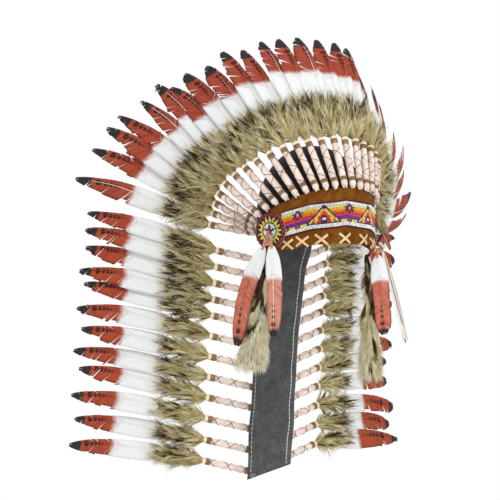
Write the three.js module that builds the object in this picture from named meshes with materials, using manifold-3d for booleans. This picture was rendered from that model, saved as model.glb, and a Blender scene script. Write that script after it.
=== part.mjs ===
// Feathered headdress: a felt cap inside a beaded suede brow band, a fan of
// sleeved plumes round the crown, a felt trailer down the back with plumes on
// both sides, and a rosette with hanging feathers and fur at each temple.
//
// Millimetres, +Z up. The headdress faces -Y, so the wearer's right is -X.
// The origin is the middle of the head opening.
import * as THREE from 'three';
import Module from 'manifold-3d';

// ---------------------------------------------------------------- head ring
const RING_A = 94.4;        // half width of the plume ring (X)
const RING_B = 105.6;       // half length of the plume ring (Y)
const BAND_WALL = 2.0;      // suede
const CAP_WALL = 2.6;       // felt
const CAP_A = 90.0;         // cap outside, half width
const CAP_B = 101.2;        // cap outside, half length
const GAP = 0.6;            // left between neighbouring pieces
const DOME_FOOT = 61;       // height where the cap starts to close
const DOME_RISE = 114;      // dome height above that
const DOME_BACK = 8;        // the dome's top sits this far behind the middle

// Height of the ring's edges by angle from the front (deg).
const EDGES = [
  // angle  band_top  band_foot  cap_foot
  { angle: 0,   band_top: 108.5, band_foot: 18.5, cap_foot: 30 },
  { angle: 35,  band_top: 100.5, band_foot: 15.5, cap_foot: 27 },
  { angle: 60,  band_top: 86.5,  band_foot: 8.5,  cap_foot: 23 },
  { angle: 76,  band_top: 74.5,  band_foot: 7.0,  cap_foot: 23 },
  { angle: 90,  band_top: 64.0,  band_foot: 13.0, cap_foot: 23 },
  { angle: 105, band_top: 52.0,  band_foot: 20.0, cap_foot: 23 },
  { angle: 130, band_top: 35.0,  band_foot: 21.0, cap_foot: 23 },
  { angle: 180, band_top: 19.0,  band_foot: 21.0, cap_foot: 23 },
];
const BAND_END = 100;       // the suede band stops here, under the rosettes
const BEADS_END = 64;       // the bead strip stops here
const BEAD_STRIP = { height: 38, thick: 2.2, below_top: 22.8 };

// ---------------------------------------------------------------- plumes
const SLEEVE = 87;          // sleeve length
const TRAIL_BLADE = 217;    // fur and feather beyond the sleeve, trailer
const UNEVEN = { az: 1.4, el: 0.9, length: 0.025 };  // no two plumes sit quite alike

// Directions of the ring's plumes by angle. az is measured from straight back
// towards the wearer's left, el is above level. twist turns the blade about its
// quill; a negative droop curves the blade up.
const RING_STATIONS = [
  { angle: -138, sleeve_az: -34, sleeve_el: 9,  blade_az: -63, blade_el: 17,   blade_length: 230, twist: 26, droop: 0.22 },
  { angle: -125, sleeve_az: -25, sleeve_el: 19, blade_az: -59, blade_el: 28,   blade_length: 220, twist: 26, droop: 0.22 },
  { angle: -115, sleeve_az: -25, sleeve_el: 26, blade_az: -54, blade_el: 34.5,   blade_length: 216, twist: 26, droop: 0.22 },
  { angle: -105, sleeve_az: -27, sleeve_el: 32, blade_az: -44, blade_el: 38,   blade_length: 210, twist: 26, droop: 0.22 },
  { angle: -94,  sleeve_az: -28, sleeve_el: 38, blade_az: -35, blade_el: 41,   blade_length: 206, twist: 26, droop: 0.22 },
  { angle: -81,  sleeve_az: -27, sleeve_el: 41, blade_az: -27, blade_el: 42,   blade_length: 206, twist: 26, droop: 0.22 },
  { angle: -58,  sleeve_az: -28, sleeve_el: 47, blade_az: -17, blade_el: 41,   blade_length: 206, twist: 26, droop: 0.22 },
  { angle: -39,  sleeve_az: -27, sleeve_el: 57, blade_az: -15, blade_el: 46,   blade_length: 206, twist: 26, droop: 0.22 },
  { angle: -20,  sleeve_az: -19, sleeve_el: 62, blade_az: -6,  blade_el: 50.5, blade_length: 206, twist: 18, droop: 0.22 },
  { angle: -2,   sleeve_az: 0,   sleeve_el: 64, blade_az: 1,   blade_el: 52,   blade_length: 206, twist: -4, droop: 0.22 },
  { angle: 16,   sleeve_az: 18,  sleeve_el: 62, blade_az: 14,  blade_el: 51,   blade_length: 206, twist: -26, droop: 0.22 },
  { angle: 27,   sleeve_az: 23.2, sleeve_el: 57.9, blade_az: 16.3, blade_el: 46.9, blade_length: 206, twist: -27, droop: 0.185 },
  { angle: 35,   sleeve_az: 27,  sleeve_el: 55, blade_az: 18,  blade_el: 44,   blade_length: 206, twist: 14, droop: 0.16 },
  { angle: 56,   sleeve_az: 31,  sleeve_el: 45, blade_az: 26,  blade_el: 34.5,   blade_length: 206, twist: 18, droop: 0 },
  { angle: 79,   sleeve_az: 36,  sleeve_el: 34, blade_az: 39,  blade_el: 25,   blade_length: 206, twist: 16, droop: -0.22 },
  { angle: 104,  sleeve_az: 46,  sleeve_el: 22, blade_az: 48,  blade_el: 17.5,   blade_length: 210, twist: 14, droop: -0.4 },
  { angle: 133,  sleeve_az: 58,  sleeve_el: 12, blade_az: 54,  blade_el: 6.5,    blade_length: 216, twist: 2, droop: -0.4 },
];
// The ring's plume angles, from the wearer's right round the front to the left.
const RING_ANGLES = [
  -138, -126, -116, -105, -94, -81, -69.5, -58.5, -48.5, -39, -29.5, -20.5, -11.5,
  -2.5, 6.5, 15.5, 25, 35, 45, 56, 67, 79, 91, 104, 118, 133,
];

// Trailer plumes, twelve a side, by place from the top (0) to the bottom (11).
const TRAIL_COUNT = 12;
const TRAIL_STATIONS = [
  { place: 0,  right_z: -12,  left_z: -11,  right_blade_el: 15, left_blade_el: 2,  left_blade_az: 60 },
  { place: 4,  right_z: -117, left_z: -116, right_blade_el: 12, left_blade_el: 0,  left_blade_az: 60 },
  { place: 8,  right_z: -250, left_z: -238, right_blade_el: 10, left_blade_el: -1, left_blade_az: 61 },
  { place: 11, right_z: -353, left_z: -334, right_blade_el: 6,  left_blade_el: -2, left_blade_az: 67 },
];
const TRAIL_SLEEVE = { az: 72, right_el: 13.2, left_el: 16.5 };
const TRAIL_BLADE_AZ = 63;
const TRAIL_ROOT_X = 25;    // sleeves start this far from the felt's middle

// Plume cross-section by distance from its foot: sleeve, fur, then the blade.
const SLEEVE_SECTIONS = [
  { at: 0, wide: 10.8, deep: 10.8 },
  { at: SLEEVE - 1, wide: 10.4, deep: 10.4 },
];
const BLADE_SECTIONS = [
  // share of the fur-and-feather length, share of full width, depth in mm
  { share: 0.06, wide: 0.74, deep: 17 },
  { share: 0.17, wide: 1.00, deep: 23 },
  { share: 0.29, wide: 0.98, deep: 17 },
  { share: 0.40, wide: 0.92, deep: 3.4 },
  { share: 0.64, wide: 1.00, deep: 2.4 },
  { share: 0.90, wide: 0.72, deep: 2.0 },
  { share: 1.00, wide: 0.20, deep: 1.6 },
];
const SECTION_SIDES = 8;
const BLADE_WIDE = 27;      // full width of a feather

// ---------------------------------------------------------------- trailer felt
const FELT_WALL = 2.6;
const FELT_FOLDS = [
  // height of the row, distance back, half width, wrap = how far the edges come forward
  { z: 36,   back: 103.6, half: 46, wrap: 13.6 },
  { z: 8,    back: 104.8, half: 44.5, wrap: 12.6 },
  { z: -22,  back: 110.5, half: 41, wrap: 8 },
  { z: -70,  back: 119,   half: 40, wrap: 3 },
  { z: -130, back: 128,   half: 40, wrap: 1 },
  { z: -200, back: 136,   half: 39.5, wrap: 0 },
  { z: -270, back: 145,   half: 40, wrap: 0.5 },
  { z: -353, back: 155,   half: 40.5, wrap: 1 },
];
const FELT_SLANT = 12;      // the lower edge drops this much to the wearer's right

// ---------------------------------------------------------------- temple pieces
const ROSETTE = { radius: 30, rim: 27, thick: 5, angle: 74, turn: 10 };
const ROSETTE_PLACE = [
  // side, height of the middle, distance off the beads, lift of the lower edge
  { side: 'right', height: 38, off: 3, tilt: 0 },
  { side: 'left', height: 33.6, off: 13, tilt: 25 },
];
// Hanging feathers and fur: top and tip, size, and the way the broad side
// faces (deg from straight ahead, towards the wearer's left).
const STRANDS = [
  { side: 'right', kind: 'feather', top: [-106.1, -28.3, 17],  tip: [-139, 4, -137],   wide: 21, facing: -45 },
  { side: 'right', kind: 'feather', top: [-100.6, -40.8, 19],  tip: [-98, -43, -130],  wide: 21, facing: -34 },
  { side: 'right', kind: 'fur',     top: [-93, -14, -1],     tip: [-117, -8, -181],  wide: 44, facing: -48 },
  { side: 'left',  kind: 'feather', top: [86, -50.5, 4],     tip: [99.5, -50, -129], wide: 25, facing: -12 },
  { side: 'left',  kind: 'feather', top: [101, -40, 10],     tip: [148.5, -36, -142], wide: 20, facing: 56 },
  { side: 'left',  kind: 'fur',     top: [83, -22, -3],      tip: [92, -16, -200],   wide: 38, facing: -26 },
];
const FEATHER_SECTIONS = [
  { share: 0, wide: 0.20, deep: 4.6 },
  { share: 0.08, wide: 0.24, deep: 4.6 },
  { share: 0.14, wide: 0.55, deep: 2.8 },
  { share: 0.34, wide: 1.00, deep: 2.4 },
  { share: 0.72, wide: 0.92, deep: 2.2 },
  { share: 0.93, wide: 0.60, deep: 2.0 },
  { share: 1, wide: 0.16, deep: 1.6 },
];
const FUR_SECTIONS = [
  { share: 0, wide: 0.28, deep: 8 },
  { share: 0.12, wide: 0.42, deep: 12 },
  { share: 0.40, wide: 0.72, deep: 18 },
  { share: 0.72, wide: 1.00, deep: 24 },
  { share: 0.92, wide: 0.90, deep: 22 },
  { share: 1, wide: 0.45, deep: 12 },
];
const KNOT = { side: 4.2, up: 6.5 };   // leather wrap that ties two feathers

// ================================================================ helpers
const rad = (d) => d * Math.PI / 180;
const lerp = (a, b, t) => a + (b - a) * t;
const smooth = (t) => { const c = Math.min(1, Math.max(0, t)); return c * c * (3 - 2 * c); };
const V = (x, y, z) => new THREE.Vector3(x, y, z);

// Reads a column of a table at a value of its key column.
function table(rows, key, column, value) {
  if (value <= rows[0][key]) return rows[0][column];
  for (let i = 1; i < rows.length; i++) {
    if (value <= rows[i][key]) {
      const t = (value - rows[i - 1][key]) / (rows[i][key] - rows[i - 1][key]);
      return lerp(rows[i - 1][column], rows[i][column], t);
    }
  }
  return rows[rows.length - 1][column];
}

function heading(az, el) {
  const a = rad(az), e = rad(el);
  return V(Math.cos(e) * Math.sin(a), Math.cos(e) * Math.cos(a), Math.sin(e));
}

// Joins rings of points (all the same length) into a closed body. A ring is a
// list of vectors in order; loop = true joins the last ring to the first.
function skin(rings, { loop = false, closed = true } = {}) {
  const n = rings[0].length;
  const pos = [];
  for (const ring of rings) for (const p of ring) pos.push(p.x, p.y, p.z);
  const index = [];
  const last = loop ? rings.length : rings.length - 1;
  for (let i = 0; i < last; i++) {
    const a = i * n, b = ((i + 1) % rings.length) * n;
    for (let j = 0; j < n; j++) {
      const k = (j + 1) % n;
      index.push(a + j, a + k, b + k, a + j, b + k, b + j);
    }
  }
  if (!loop && closed) {
    for (let j = 1; j < n - 1; j++) {
      index.push(0, j + 1, j);
      const b = (rings.length - 1) * n;
      index.push(b, b + j, b + j + 1);
    }
  }
  const g = new THREE.BufferGeometry();
  g.setAttribute('position', new THREE.Float32BufferAttribute(pos, 3));
  g.setIndex(index);
  // turn the body right side out
  let volume = 0;
  const p = (i) => V(pos[3 * i], pos[3 * i + 1], pos[3 * i + 2]);
  for (let i = 0; i < index.length; i += 3) {
    volume += p(index[i]).dot(p(index[i + 1]).cross(p(index[i + 2])));
  }
  if (volume < 0) {
    for (let i = 0; i < index.length; i += 3) {
      const t = index[i]; index[i] = index[i + 1]; index[i + 1] = t;
    }
    g.setIndex(index);
  }
  g.computeVertexNormals();
  return g;
}

const headdress = new THREE.Group();
function add(name, geometry, look) {
  const mesh = new THREE.Mesh(geometry, new THREE.MeshStandardMaterial(look));
  mesh.name = name;
  headdress.add(mesh);
  return mesh;
}
const LOOK = {
  plume: { color: 0xc9b9a6, roughness: 0.85, metalness: 0 },
  felt: { color: 0x55585a, roughness: 0.95, metalness: 0 },
  cap: { color: 0x1a1617, roughness: 0.95, metalness: 0 },
  suede: { color: 0x6f4216, roughness: 0.9, metalness: 0 },
  beads: { color: 0xd9842b, roughness: 0.35, metalness: 0 },
  rosette: { color: 0x6e1e28, roughness: 0.45, metalness: 0 },
  fur: { color: 0x8f8660, roughness: 0.95, metalness: 0 },
  feather: { color: 0xb4522f, roughness: 0.8, metalness: 0 },
};

// ================================================================ cap
function ringPoint(a, b, angle, z) {
  const t = rad(angle);
  return V(a * Math.sin(t), -b * Math.cos(t), z);
}
function edge(column, angle) { return table(EDGES, 'angle', column, Math.abs(angle)); }

function capGeometry() {
  const around = 26, up = 5;
  const rings = [];
  const layer = (inset) => {
    const rows = [];
    for (let k = 0; k <= up + 1; k++) {
      const row = [];
      for (let j = 0; j < around; j++) {
        const angle = 360 * j / around;
        const a180 = angle > 180 ? 360 - angle : angle;
        if (k === 0) {
          row.push(ringPoint(CAP_A - inset, CAP_B - inset, angle, edge('cap_foot', a180)));
        } else {
          const s = rad(81 * (k - 1) / up);
          const r = Math.cos(s);
          const p = ringPoint((CAP_A - inset) * r, (CAP_B - inset) * r, angle,
            DOME_FOOT + (DOME_RISE - inset) * Math.sin(s));
          p.y += DOME_BACK * Math.sin(s);
          row.push(p);
        }
      }
      rows.push(row);
    }
    return rows;
  };
  const outer = layer(0), inner = layer(CAP_WALL);
  // outside from the crown down, then inside back up; both crowns are capped
  rings.push(...outer.reverse(), ...inner);
  return skin(rings);
}
add('cap', capGeometry(), LOOK.cap);

// ================================================================ bands
// A strip that follows the ring between two angles: a closed wall.
function strip({ from, to, steps, inner, wall, top, foot }) {
  const rings = [];
  for (let i = 0; i <= steps; i++) {
    const angle = lerp(from, to, i / steps);
    const t = top(angle), f = foot(angle);
    rings.push([
      ringPoint(inner.a, inner.b, angle, f),
      ringPoint(inner.a + wall, inner.b + wall, angle, f),
      ringPoint(inner.a + wall, inner.b + wall, angle, t),
      ringPoint(inner.a, inner.b, angle, t),
    ]);
  }
  return skin(rings);
}
const BAND_IN = { a: CAP_A + GAP, b: CAP_B + GAP };
add('brow_band', strip({
  from: -BAND_END, to: BAND_END, steps: 28, inner: BAND_IN, wall: BAND_WALL,
  top: (g) => edge('band_top', g), foot: (g) => edge('band_foot', g),
}), LOOK.suede);

const BEADS_IN = { a: BAND_IN.a + BAND_WALL + GAP, b: BAND_IN.b + BAND_WALL + GAP };
const beadsTop = (g) => edge('band_top', g) - BEAD_STRIP.below_top * (0.62 + 0.38 * Math.cos(rad(g)));
add('bead_strip', strip({
  from: -BEADS_END, to: BEADS_END, steps: 22, inner: BEADS_IN, wall: BEAD_STRIP.thick,
  top: beadsTop, foot: (g) => beadsTop(g) - BEAD_STRIP.height,
}), LOOK.beads);

// ================================================================ plumes
// The plume's line: straight along the sleeve, then a smooth turn into the
// blade's heading, with the blade lifting first and drooping at its tip.
function plumeLine(foot, sleeve, blade, length, droop) {
  const total = SLEEVE + length, step = 3;
  const points = [foot.clone()], ways = [sleeve.clone()];
  let p = foot.clone();
  for (let s = step; s <= total + 1e-6; s += step) {
    const t = smooth((s - 0.82 * SLEEVE) / (0.42 * SLEEVE));
    const d = sleeve.clone().lerp(blade, t).normalize();
    const u = (s - SLEEVE) / length;
    if (u > 0) d.z += droop * (0.5 - 1.15 * u * u);
    d.normalize();
    p = p.clone().addScaledVector(d, step);
    points.push(p); ways.push(d);
  }
  return { points, ways, step, total };
}

function plumeGeometry(line, length, side, width, broad, twist) {
  const rows = SLEEVE_SECTIONS.map((r) => ({ at: r.at, wide: r.wide, deep: r.deep, turn: 0 }));
  for (const r of BLADE_SECTIONS) {
    rows.push({
      at: SLEEVE + r.share * length,
      wide: (r.share < 0.35 ? width : broad) * r.wide,
      deep: Math.min(r.deep, r.share < 0.35 ? width * 1.1 : r.deep),
      turn: twist * smooth((r.share - 0.02) / 0.3),
    });
  }
  const rings = [];
  for (const row of rows) {
    const f = Math.min(row.at / line.step, line.points.length - 1.001);
    const i = Math.floor(f);
    const c = line.points[i].clone().lerp(line.points[i + 1], f - i);
    const d = line.ways[i].clone().lerp(line.ways[i + 1], f - i).normalize();
    let w = side.clone().addScaledVector(d, -side.dot(d)).normalize();
    w = w.applyAxisAngle(d, rad(row.turn));
    const n = d.clone().cross(w).normalize();
    const ring = [];
    for (let k = 0; k < SECTION_SIDES; k++) {
      const t = 2 * Math.PI * k / SECTION_SIDES;
      ring.push(c.clone()
        .addScaledVector(w, Math.cos(t) * row.wide / 2)
        .addScaledVector(n, Math.sin(t) * row.deep / 2));
    }
    rings.push(ring);
  }
  return skin(rings);
}

// ---- ring plumes
function ringLength(angle, uneven = 0) {
  return table(RING_STATIONS, 'angle', 'blade_length', angle) * (1 + UNEVEN.length * Math.sin(2.9 * uneven));
}
function ringPlume(angle, uneven = 0) {
  const col = (c) => table(RING_STATIONS, 'angle', c, angle);
  const sleeve = heading(col('sleeve_az'), col('sleeve_el'));
  const blade = heading(
    col('blade_az') + UNEVEN.az * Math.sin(2.4 * uneven),
    col('blade_el') + UNEVEN.el * Math.sin(1.7 * uneven));
  // The foot stands just above the band's top edge, outside the cap.
  const foot = ringPoint(CAP_A + 6.5, CAP_B + 6.5, angle, edge('band_top', angle) + 3.0);
  return plumeLine(foot, sleeve, blade, ringLength(angle, uneven), col('droop'));
}
const pad = (i) => String(i).padStart(2, '0');
RING_ANGLES.forEach((angle, i) => {
  const line = ringPlume(angle, i);
  const length = ringLength(angle, i);
  const before = ringPlume(angle - 4), after = ringPlume(angle + 4);
  const mid = Math.round((SLEEVE + 0.5 * length) / line.step);
  const side = after.points[mid].clone().sub(before.points[mid]).normalize();
  const near = Math.round((SLEEVE + 18) / line.step);
  const gapTo = (j) => (RING_ANGLES[j] === undefined ? 99
    : line.points[near].distanceTo(ringPlume(RING_ANGLES[j], j).points[near]));
  const width = Math.min(26, Math.min(gapTo(i - 1), gapTo(i + 1)) - 2.7);
  const broad = Math.min(BLADE_WIDE, width + 6);
  add('crown_plume_' + pad(i + 1), plumeGeometry(line, length, side, width, broad,
    table(RING_STATIONS, 'angle', 'twist', angle)), LOOK.plume);
});

// ---- trailer plumes
function feltAt(column, z) {
  return table([...FELT_FOLDS].reverse(), 'z', column, z);
}
for (const [word, sign] of [['right', -1], ['left', 1]]) {
  for (let i = 0; i < TRAIL_COUNT; i++) {
    const z = table(TRAIL_STATIONS, 'place', word + '_z', i);
    const bladeEl = table(TRAIL_STATIONS, 'place', word + '_blade_el', i);
    const bladeAz = word === 'left' ? table(TRAIL_STATIONS, 'place', 'left_blade_az', i) : TRAIL_BLADE_AZ;
    const turn = i + (sign > 0 ? 5 : 0);
    const sleeve = heading(sign * TRAIL_SLEEVE.az, TRAIL_SLEEVE[word + '_el']);
    const blade = heading(sign * (bladeAz + UNEVEN.az * Math.sin(2.4 * turn)),
      bladeEl + UNEVEN.el * Math.sin(1.7 * turn));
    const length = TRAIL_BLADE * (1 + UNEVEN.length * Math.sin(2.9 * turn));
    const foot = V(sign * TRAIL_ROOT_X, feltAt('back', z) + FELT_WALL / 2 + 6.6, z);
    const line = plumeLine(foot, sleeve, blade, length, 0.16);
    add('trailer_plume_' + word + '_' + pad(i + 1),
      plumeGeometry(line, length, V(0, 0, 1), 24.5, BLADE_WIDE, -sign * 14), LOOK.plume);
  }
}

// ================================================================ felt trailer
function feltGeometry() {
  const across = 8;
  const rings = [];
  for (const row of FELT_FOLDS) {
    const ring = [];
    const lowest = row === FELT_FOLDS[FELT_FOLDS.length - 1];
    const point = (u, off) => V(
      u * row.half,
      row.back + off - row.wrap * u * u,
      row.z - (lowest ? FELT_SLANT * -u : 0));
    for (let j = 0; j <= across; j++) ring.push(point(2 * j / across - 1, FELT_WALL / 2));
    for (let j = across; j >= 0; j--) ring.push(point(2 * j / across - 1, -FELT_WALL / 2));
    rings.push(ring);
  }
  return skin(rings);
}
add('felt_trailer', feltGeometry(), LOOK.felt);

// ================================================================ rosettes and drops
for (const place of ROSETTE_PLACE) {
  const sign = place.side === 'right' ? -1 : 1;
  const t = rad(sign * ROSETTE.angle);
  const facing = rad(sign * (ROSETTE.angle - ROSETTE.turn));
  const lift = rad(place.tilt);
  const n = V(Math.sin(facing) * Math.cos(lift), -Math.cos(facing) * Math.cos(lift), Math.sin(lift));
  const off = BAND_WALL + BEAD_STRIP.thick + 3 * GAP + place.off;
  const c = V((CAP_A + off) * Math.sin(t), -(CAP_B + off) * Math.cos(t), place.height);
  const g = new THREE.CylinderGeometry(ROSETTE.rim, ROSETTE.radius, ROSETTE.thick, 28);
  g.deleteAttribute('uv');
  const disc = add('rosette_' + place.side, g, LOOK.rosette);
  disc.quaternion.setFromUnitVectors(V(0, 1, 0), n);
  disc.position.copy(c).addScaledVector(n, ROSETTE.thick / 2);
}

// A hanging feather or fur strip: straight, with a slight bow.
function strandGeometry(row, sections) {
  const top = V(...row.top), tip = V(...row.tip);
  const way = tip.clone().sub(top).normalize();
  const f = rad(row.facing);
  let w = V(Math.cos(f), Math.sin(f), 0);
  w = w.addScaledVector(way, -w.dot(way)).normalize();
  const n = way.clone().cross(w).normalize();
  const length = top.distanceTo(tip);
  const rings = sections.map((r) => {
    const c = top.clone().lerp(tip, r.share)
      .addScaledVector(w, 0.02 * length * Math.sin(Math.PI * r.share));
    const ring = [];
    for (let k = 0; k < SECTION_SIDES; k++) {
      const t = 2 * Math.PI * k / SECTION_SIDES;
      ring.push(c.clone()
        .addScaledVector(w, Math.cos(t) * row.wide * r.wide / 2)
        .addScaledVector(n, Math.sin(t) * r.deep / 2));
    }
    return ring;
  });
  return skin(rings);
}

// Joins closed bodies into one solid.
const wasm = await Module();
wasm.setup();
function toManifold(g) {
  return new wasm.Manifold(new wasm.Mesh({
    numProp: 3,
    vertProperties: new Float32Array(g.getAttribute('position').array),
    triVerts: new Uint32Array(g.getIndex().array),
  }));
}
function union(list) {
  const out = list.map(toManifold).reduce((a, b) => a.add(b)).getMesh();
  const g = new THREE.BufferGeometry();
  g.setAttribute('position', new THREE.Float32BufferAttribute(Float32Array.from(out.vertProperties), 3));
  g.setIndex(Array.from(out.triVerts));
  g.computeVertexNormals();
  return g;
}
function wrapGeometry(a, b) {
  // a short leather wrap between the tops of two feathers
  const from = V(...a.top), to = V(...b.top);
  const way = to.clone().sub(from).normalize();
  const up = V(0, 0, 1).addScaledVector(way, -way.z).normalize();
  const n = way.clone().cross(up).normalize();
  const rings = [[-4, 0.8], [0, 1], [from.distanceTo(to), 1], [from.distanceTo(to) + 4, 0.8]].map(([s, k]) => {
    const c = from.clone().addScaledVector(way, s).add(V(0, 0, -2));
    const ring = [];
    for (let j = 0; j < 6; j++) {
      const t = 2 * Math.PI * (j + 0.5) / 6;
      ring.push(c.clone()
        .addScaledVector(up, Math.cos(t) * KNOT.up * k)
        .addScaledVector(n, Math.sin(t) * KNOT.side * k * 0.75));
    }
    return ring;
  });
  return skin(rings);
}
for (const side of ['right', 'left']) {
  const feathers = STRANDS.filter((r) => r.side === side && r.kind === 'feather');
  add('drop_feathers_' + side, union([
    wrapGeometry(feathers[0], feathers[1]),
    ...feathers.map((r) => strandGeometry(r, FEATHER_SECTIONS)),
  ]), LOOK.feather);
  const fur = STRANDS.find((r) => r.side === side && r.kind === 'fur');
  add('drop_fur_' + side, strandGeometry(fur, FUR_SECTIONS), LOOK.fur);
}

export default headdress;
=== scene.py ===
"""Feathered headdress: the visual model.

Every piece is built in mesh code in metres, in the frame of the construction
model. Sizes below are in millimetres where a name or comment says so.
"""

import math

import bpy
import numpy as np
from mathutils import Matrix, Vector


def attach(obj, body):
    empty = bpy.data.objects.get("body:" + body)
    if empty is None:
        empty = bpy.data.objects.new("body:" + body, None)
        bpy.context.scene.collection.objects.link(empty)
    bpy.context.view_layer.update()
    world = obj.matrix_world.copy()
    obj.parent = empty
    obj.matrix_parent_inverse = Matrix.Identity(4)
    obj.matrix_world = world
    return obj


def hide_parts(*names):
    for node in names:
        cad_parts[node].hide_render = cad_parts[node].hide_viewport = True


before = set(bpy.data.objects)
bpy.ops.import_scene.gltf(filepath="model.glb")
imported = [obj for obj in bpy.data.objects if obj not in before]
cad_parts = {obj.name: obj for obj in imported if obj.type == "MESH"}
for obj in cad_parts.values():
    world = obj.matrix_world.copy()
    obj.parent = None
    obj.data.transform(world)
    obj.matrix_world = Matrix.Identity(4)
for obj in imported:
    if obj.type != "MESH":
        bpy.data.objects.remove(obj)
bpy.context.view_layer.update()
MM = 0.001
rng = np.random.default_rng(20261)

# =====================================================================
# sizes, as in the construction model (mm, degrees)
# =====================================================================
CAP_A, CAP_B, CAP_WALL = 90.0, 101.2, 2.6
GAP, BAND_WALL = 0.6, 2.0
DOME_FOOT, DOME_RISE, DOME_BACK = 61.0, 114.0, 8.0
EDGES = [  # angle, band top, band foot, cap foot
    (0, 108.5, 18.5, 30), (35, 100.5, 15.5, 27), (60, 86.5, 8.5, 23),
    (76, 74.5, 7.0, 23), (90, 64.0, 13.0, 23), (105, 52.0, 20.0, 23),
    (130, 35.0, 21.0, 23), (180, 19.0, 21.0, 23),
]
BAND_END, BEADS_END = 100.0, 64.0
STRIP_TALL, STRIP_THICK, STRIP_DOWN = 38.0, 2.2, 22.8
SLEEVE, TRAIL_BLADE, BLADE_WIDE = 87.0, 217.0, 27.0
UNEVEN_AZ, UNEVEN_EL, UNEVEN_LENGTH = 1.4, 0.9, 0.025
RING = [  # angle, sleeve az, sleeve el, blade az, blade el, blade length, twist, droop
    (-138, -34, 9, -63, 17, 230, 26, 0.22), (-125, -25, 19, -59, 28, 220, 26, 0.22),
    (-115, -25, 26, -54, 34.5, 216, 26, 0.22), (-105, -27, 32, -44, 38, 210, 26, 0.22),
    (-94, -28, 38, -35, 41, 206, 26, 0.22), (-81, -27, 41, -27, 42, 206, 26, 0.22),
    (-58, -28, 47, -17, 41, 206, 26, 0.22), (-39, -27, 57, -15, 46, 206, 26, 0.22),
    (-20, -19, 62, -6, 50.5, 206, 18, 0.22), (-2, 0, 64, 1, 52, 206, -4, 0.22),
    (16, 18, 62, 14, 51, 206, -26, 0.22), (27, 23.2, 57.9, 16.3, 46.9, 206, -27, 0.185),
    (35, 27, 55, 18, 44, 206, 14, 0.16),
    (56, 31, 45, 26, 34.5, 206, 14, 0.0), (79, 36, 34, 39, 25, 206, 8, -0.22),
    (104, 46, 22, 48, 17.5, 210, 5, -0.40), (133, 58, 12, 54, 6.5, 216, -12, -0.40),
]
RING_ANGLES = [
    -138, -126, -116, -105, -94, -81, -69.5, -58.5, -48.5, -39, -29.5, -20.5,
    -11.5, -2.5, 6.5, 15.5, 25, 35, 45, 56, 67, 79, 91, 104, 118, 133,
]
TRAIL = [  # place, right z, left z, right blade el, left blade el, left blade az
    (0, -12, -11, 15, 2, 60), (4, -117, -116, 12, 0, 60),
    (8, -250, -238, 10, -1, 61), (11, -353, -334, 6, -2, 67),
]
TRAIL_SLEEVE_AZ, TRAIL_EL = 72.0, {"right": 13.2, "left": 16.5}
TRAIL_BLADE_AZ, TRAIL_ROOT_X, TRAIL_COUNT = 63.0, 25.0, 12
FELT_WALL = 2.6
FELT = [  # z, distance back, half width, wrap
    (36, 103.6, 46, 13.6), (8, 104.8, 44.5, 12.6), (-22, 110.5, 41, 8),
    (-70, 119, 40, 3), (-130, 128, 40, 1), (-200, 136, 39.5, 0),
    (-270, 145, 40, 0.5), (-353, 155, 40.5, 1),
]
FELT_SLANT = 12.0


def srgb(r, g, b):
    """A colour given in 0-255 as the shader's linear values."""
    out = []
    for c in (r, g, b):
        c /= 255.0
        out.append(c / 12.92 if c <= 0.04045 else ((c + 0.055) / 1.055) ** 2.4)
    return (*out, 1.0)


def column(rows, key, col):
    xs = [r[0] for r in rows]
    return float(np.interp(key, xs, [r[col] for r in rows]))


def smooth(t):
    t = np.clip(t, 0, 1)
    return t * t * (3 - 2 * t)


def heading(az, el):
    a, e = math.radians(az), math.radians(el)
    return np.array([math.cos(e) * math.sin(a), math.cos(e) * math.cos(a), math.sin(e)])


def unit(v):
    v = np.asarray(v, float)
    return v / np.maximum(np.linalg.norm(v, axis=-1, keepdims=True), 1e-12)


def ring_point(a, b, angle, z):
    t = math.radians(angle)
    return np.array([a * math.sin(t), -b * math.cos(t), z])


def edge(col, angle):
    return column(EDGES, abs(angle), col)


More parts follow.
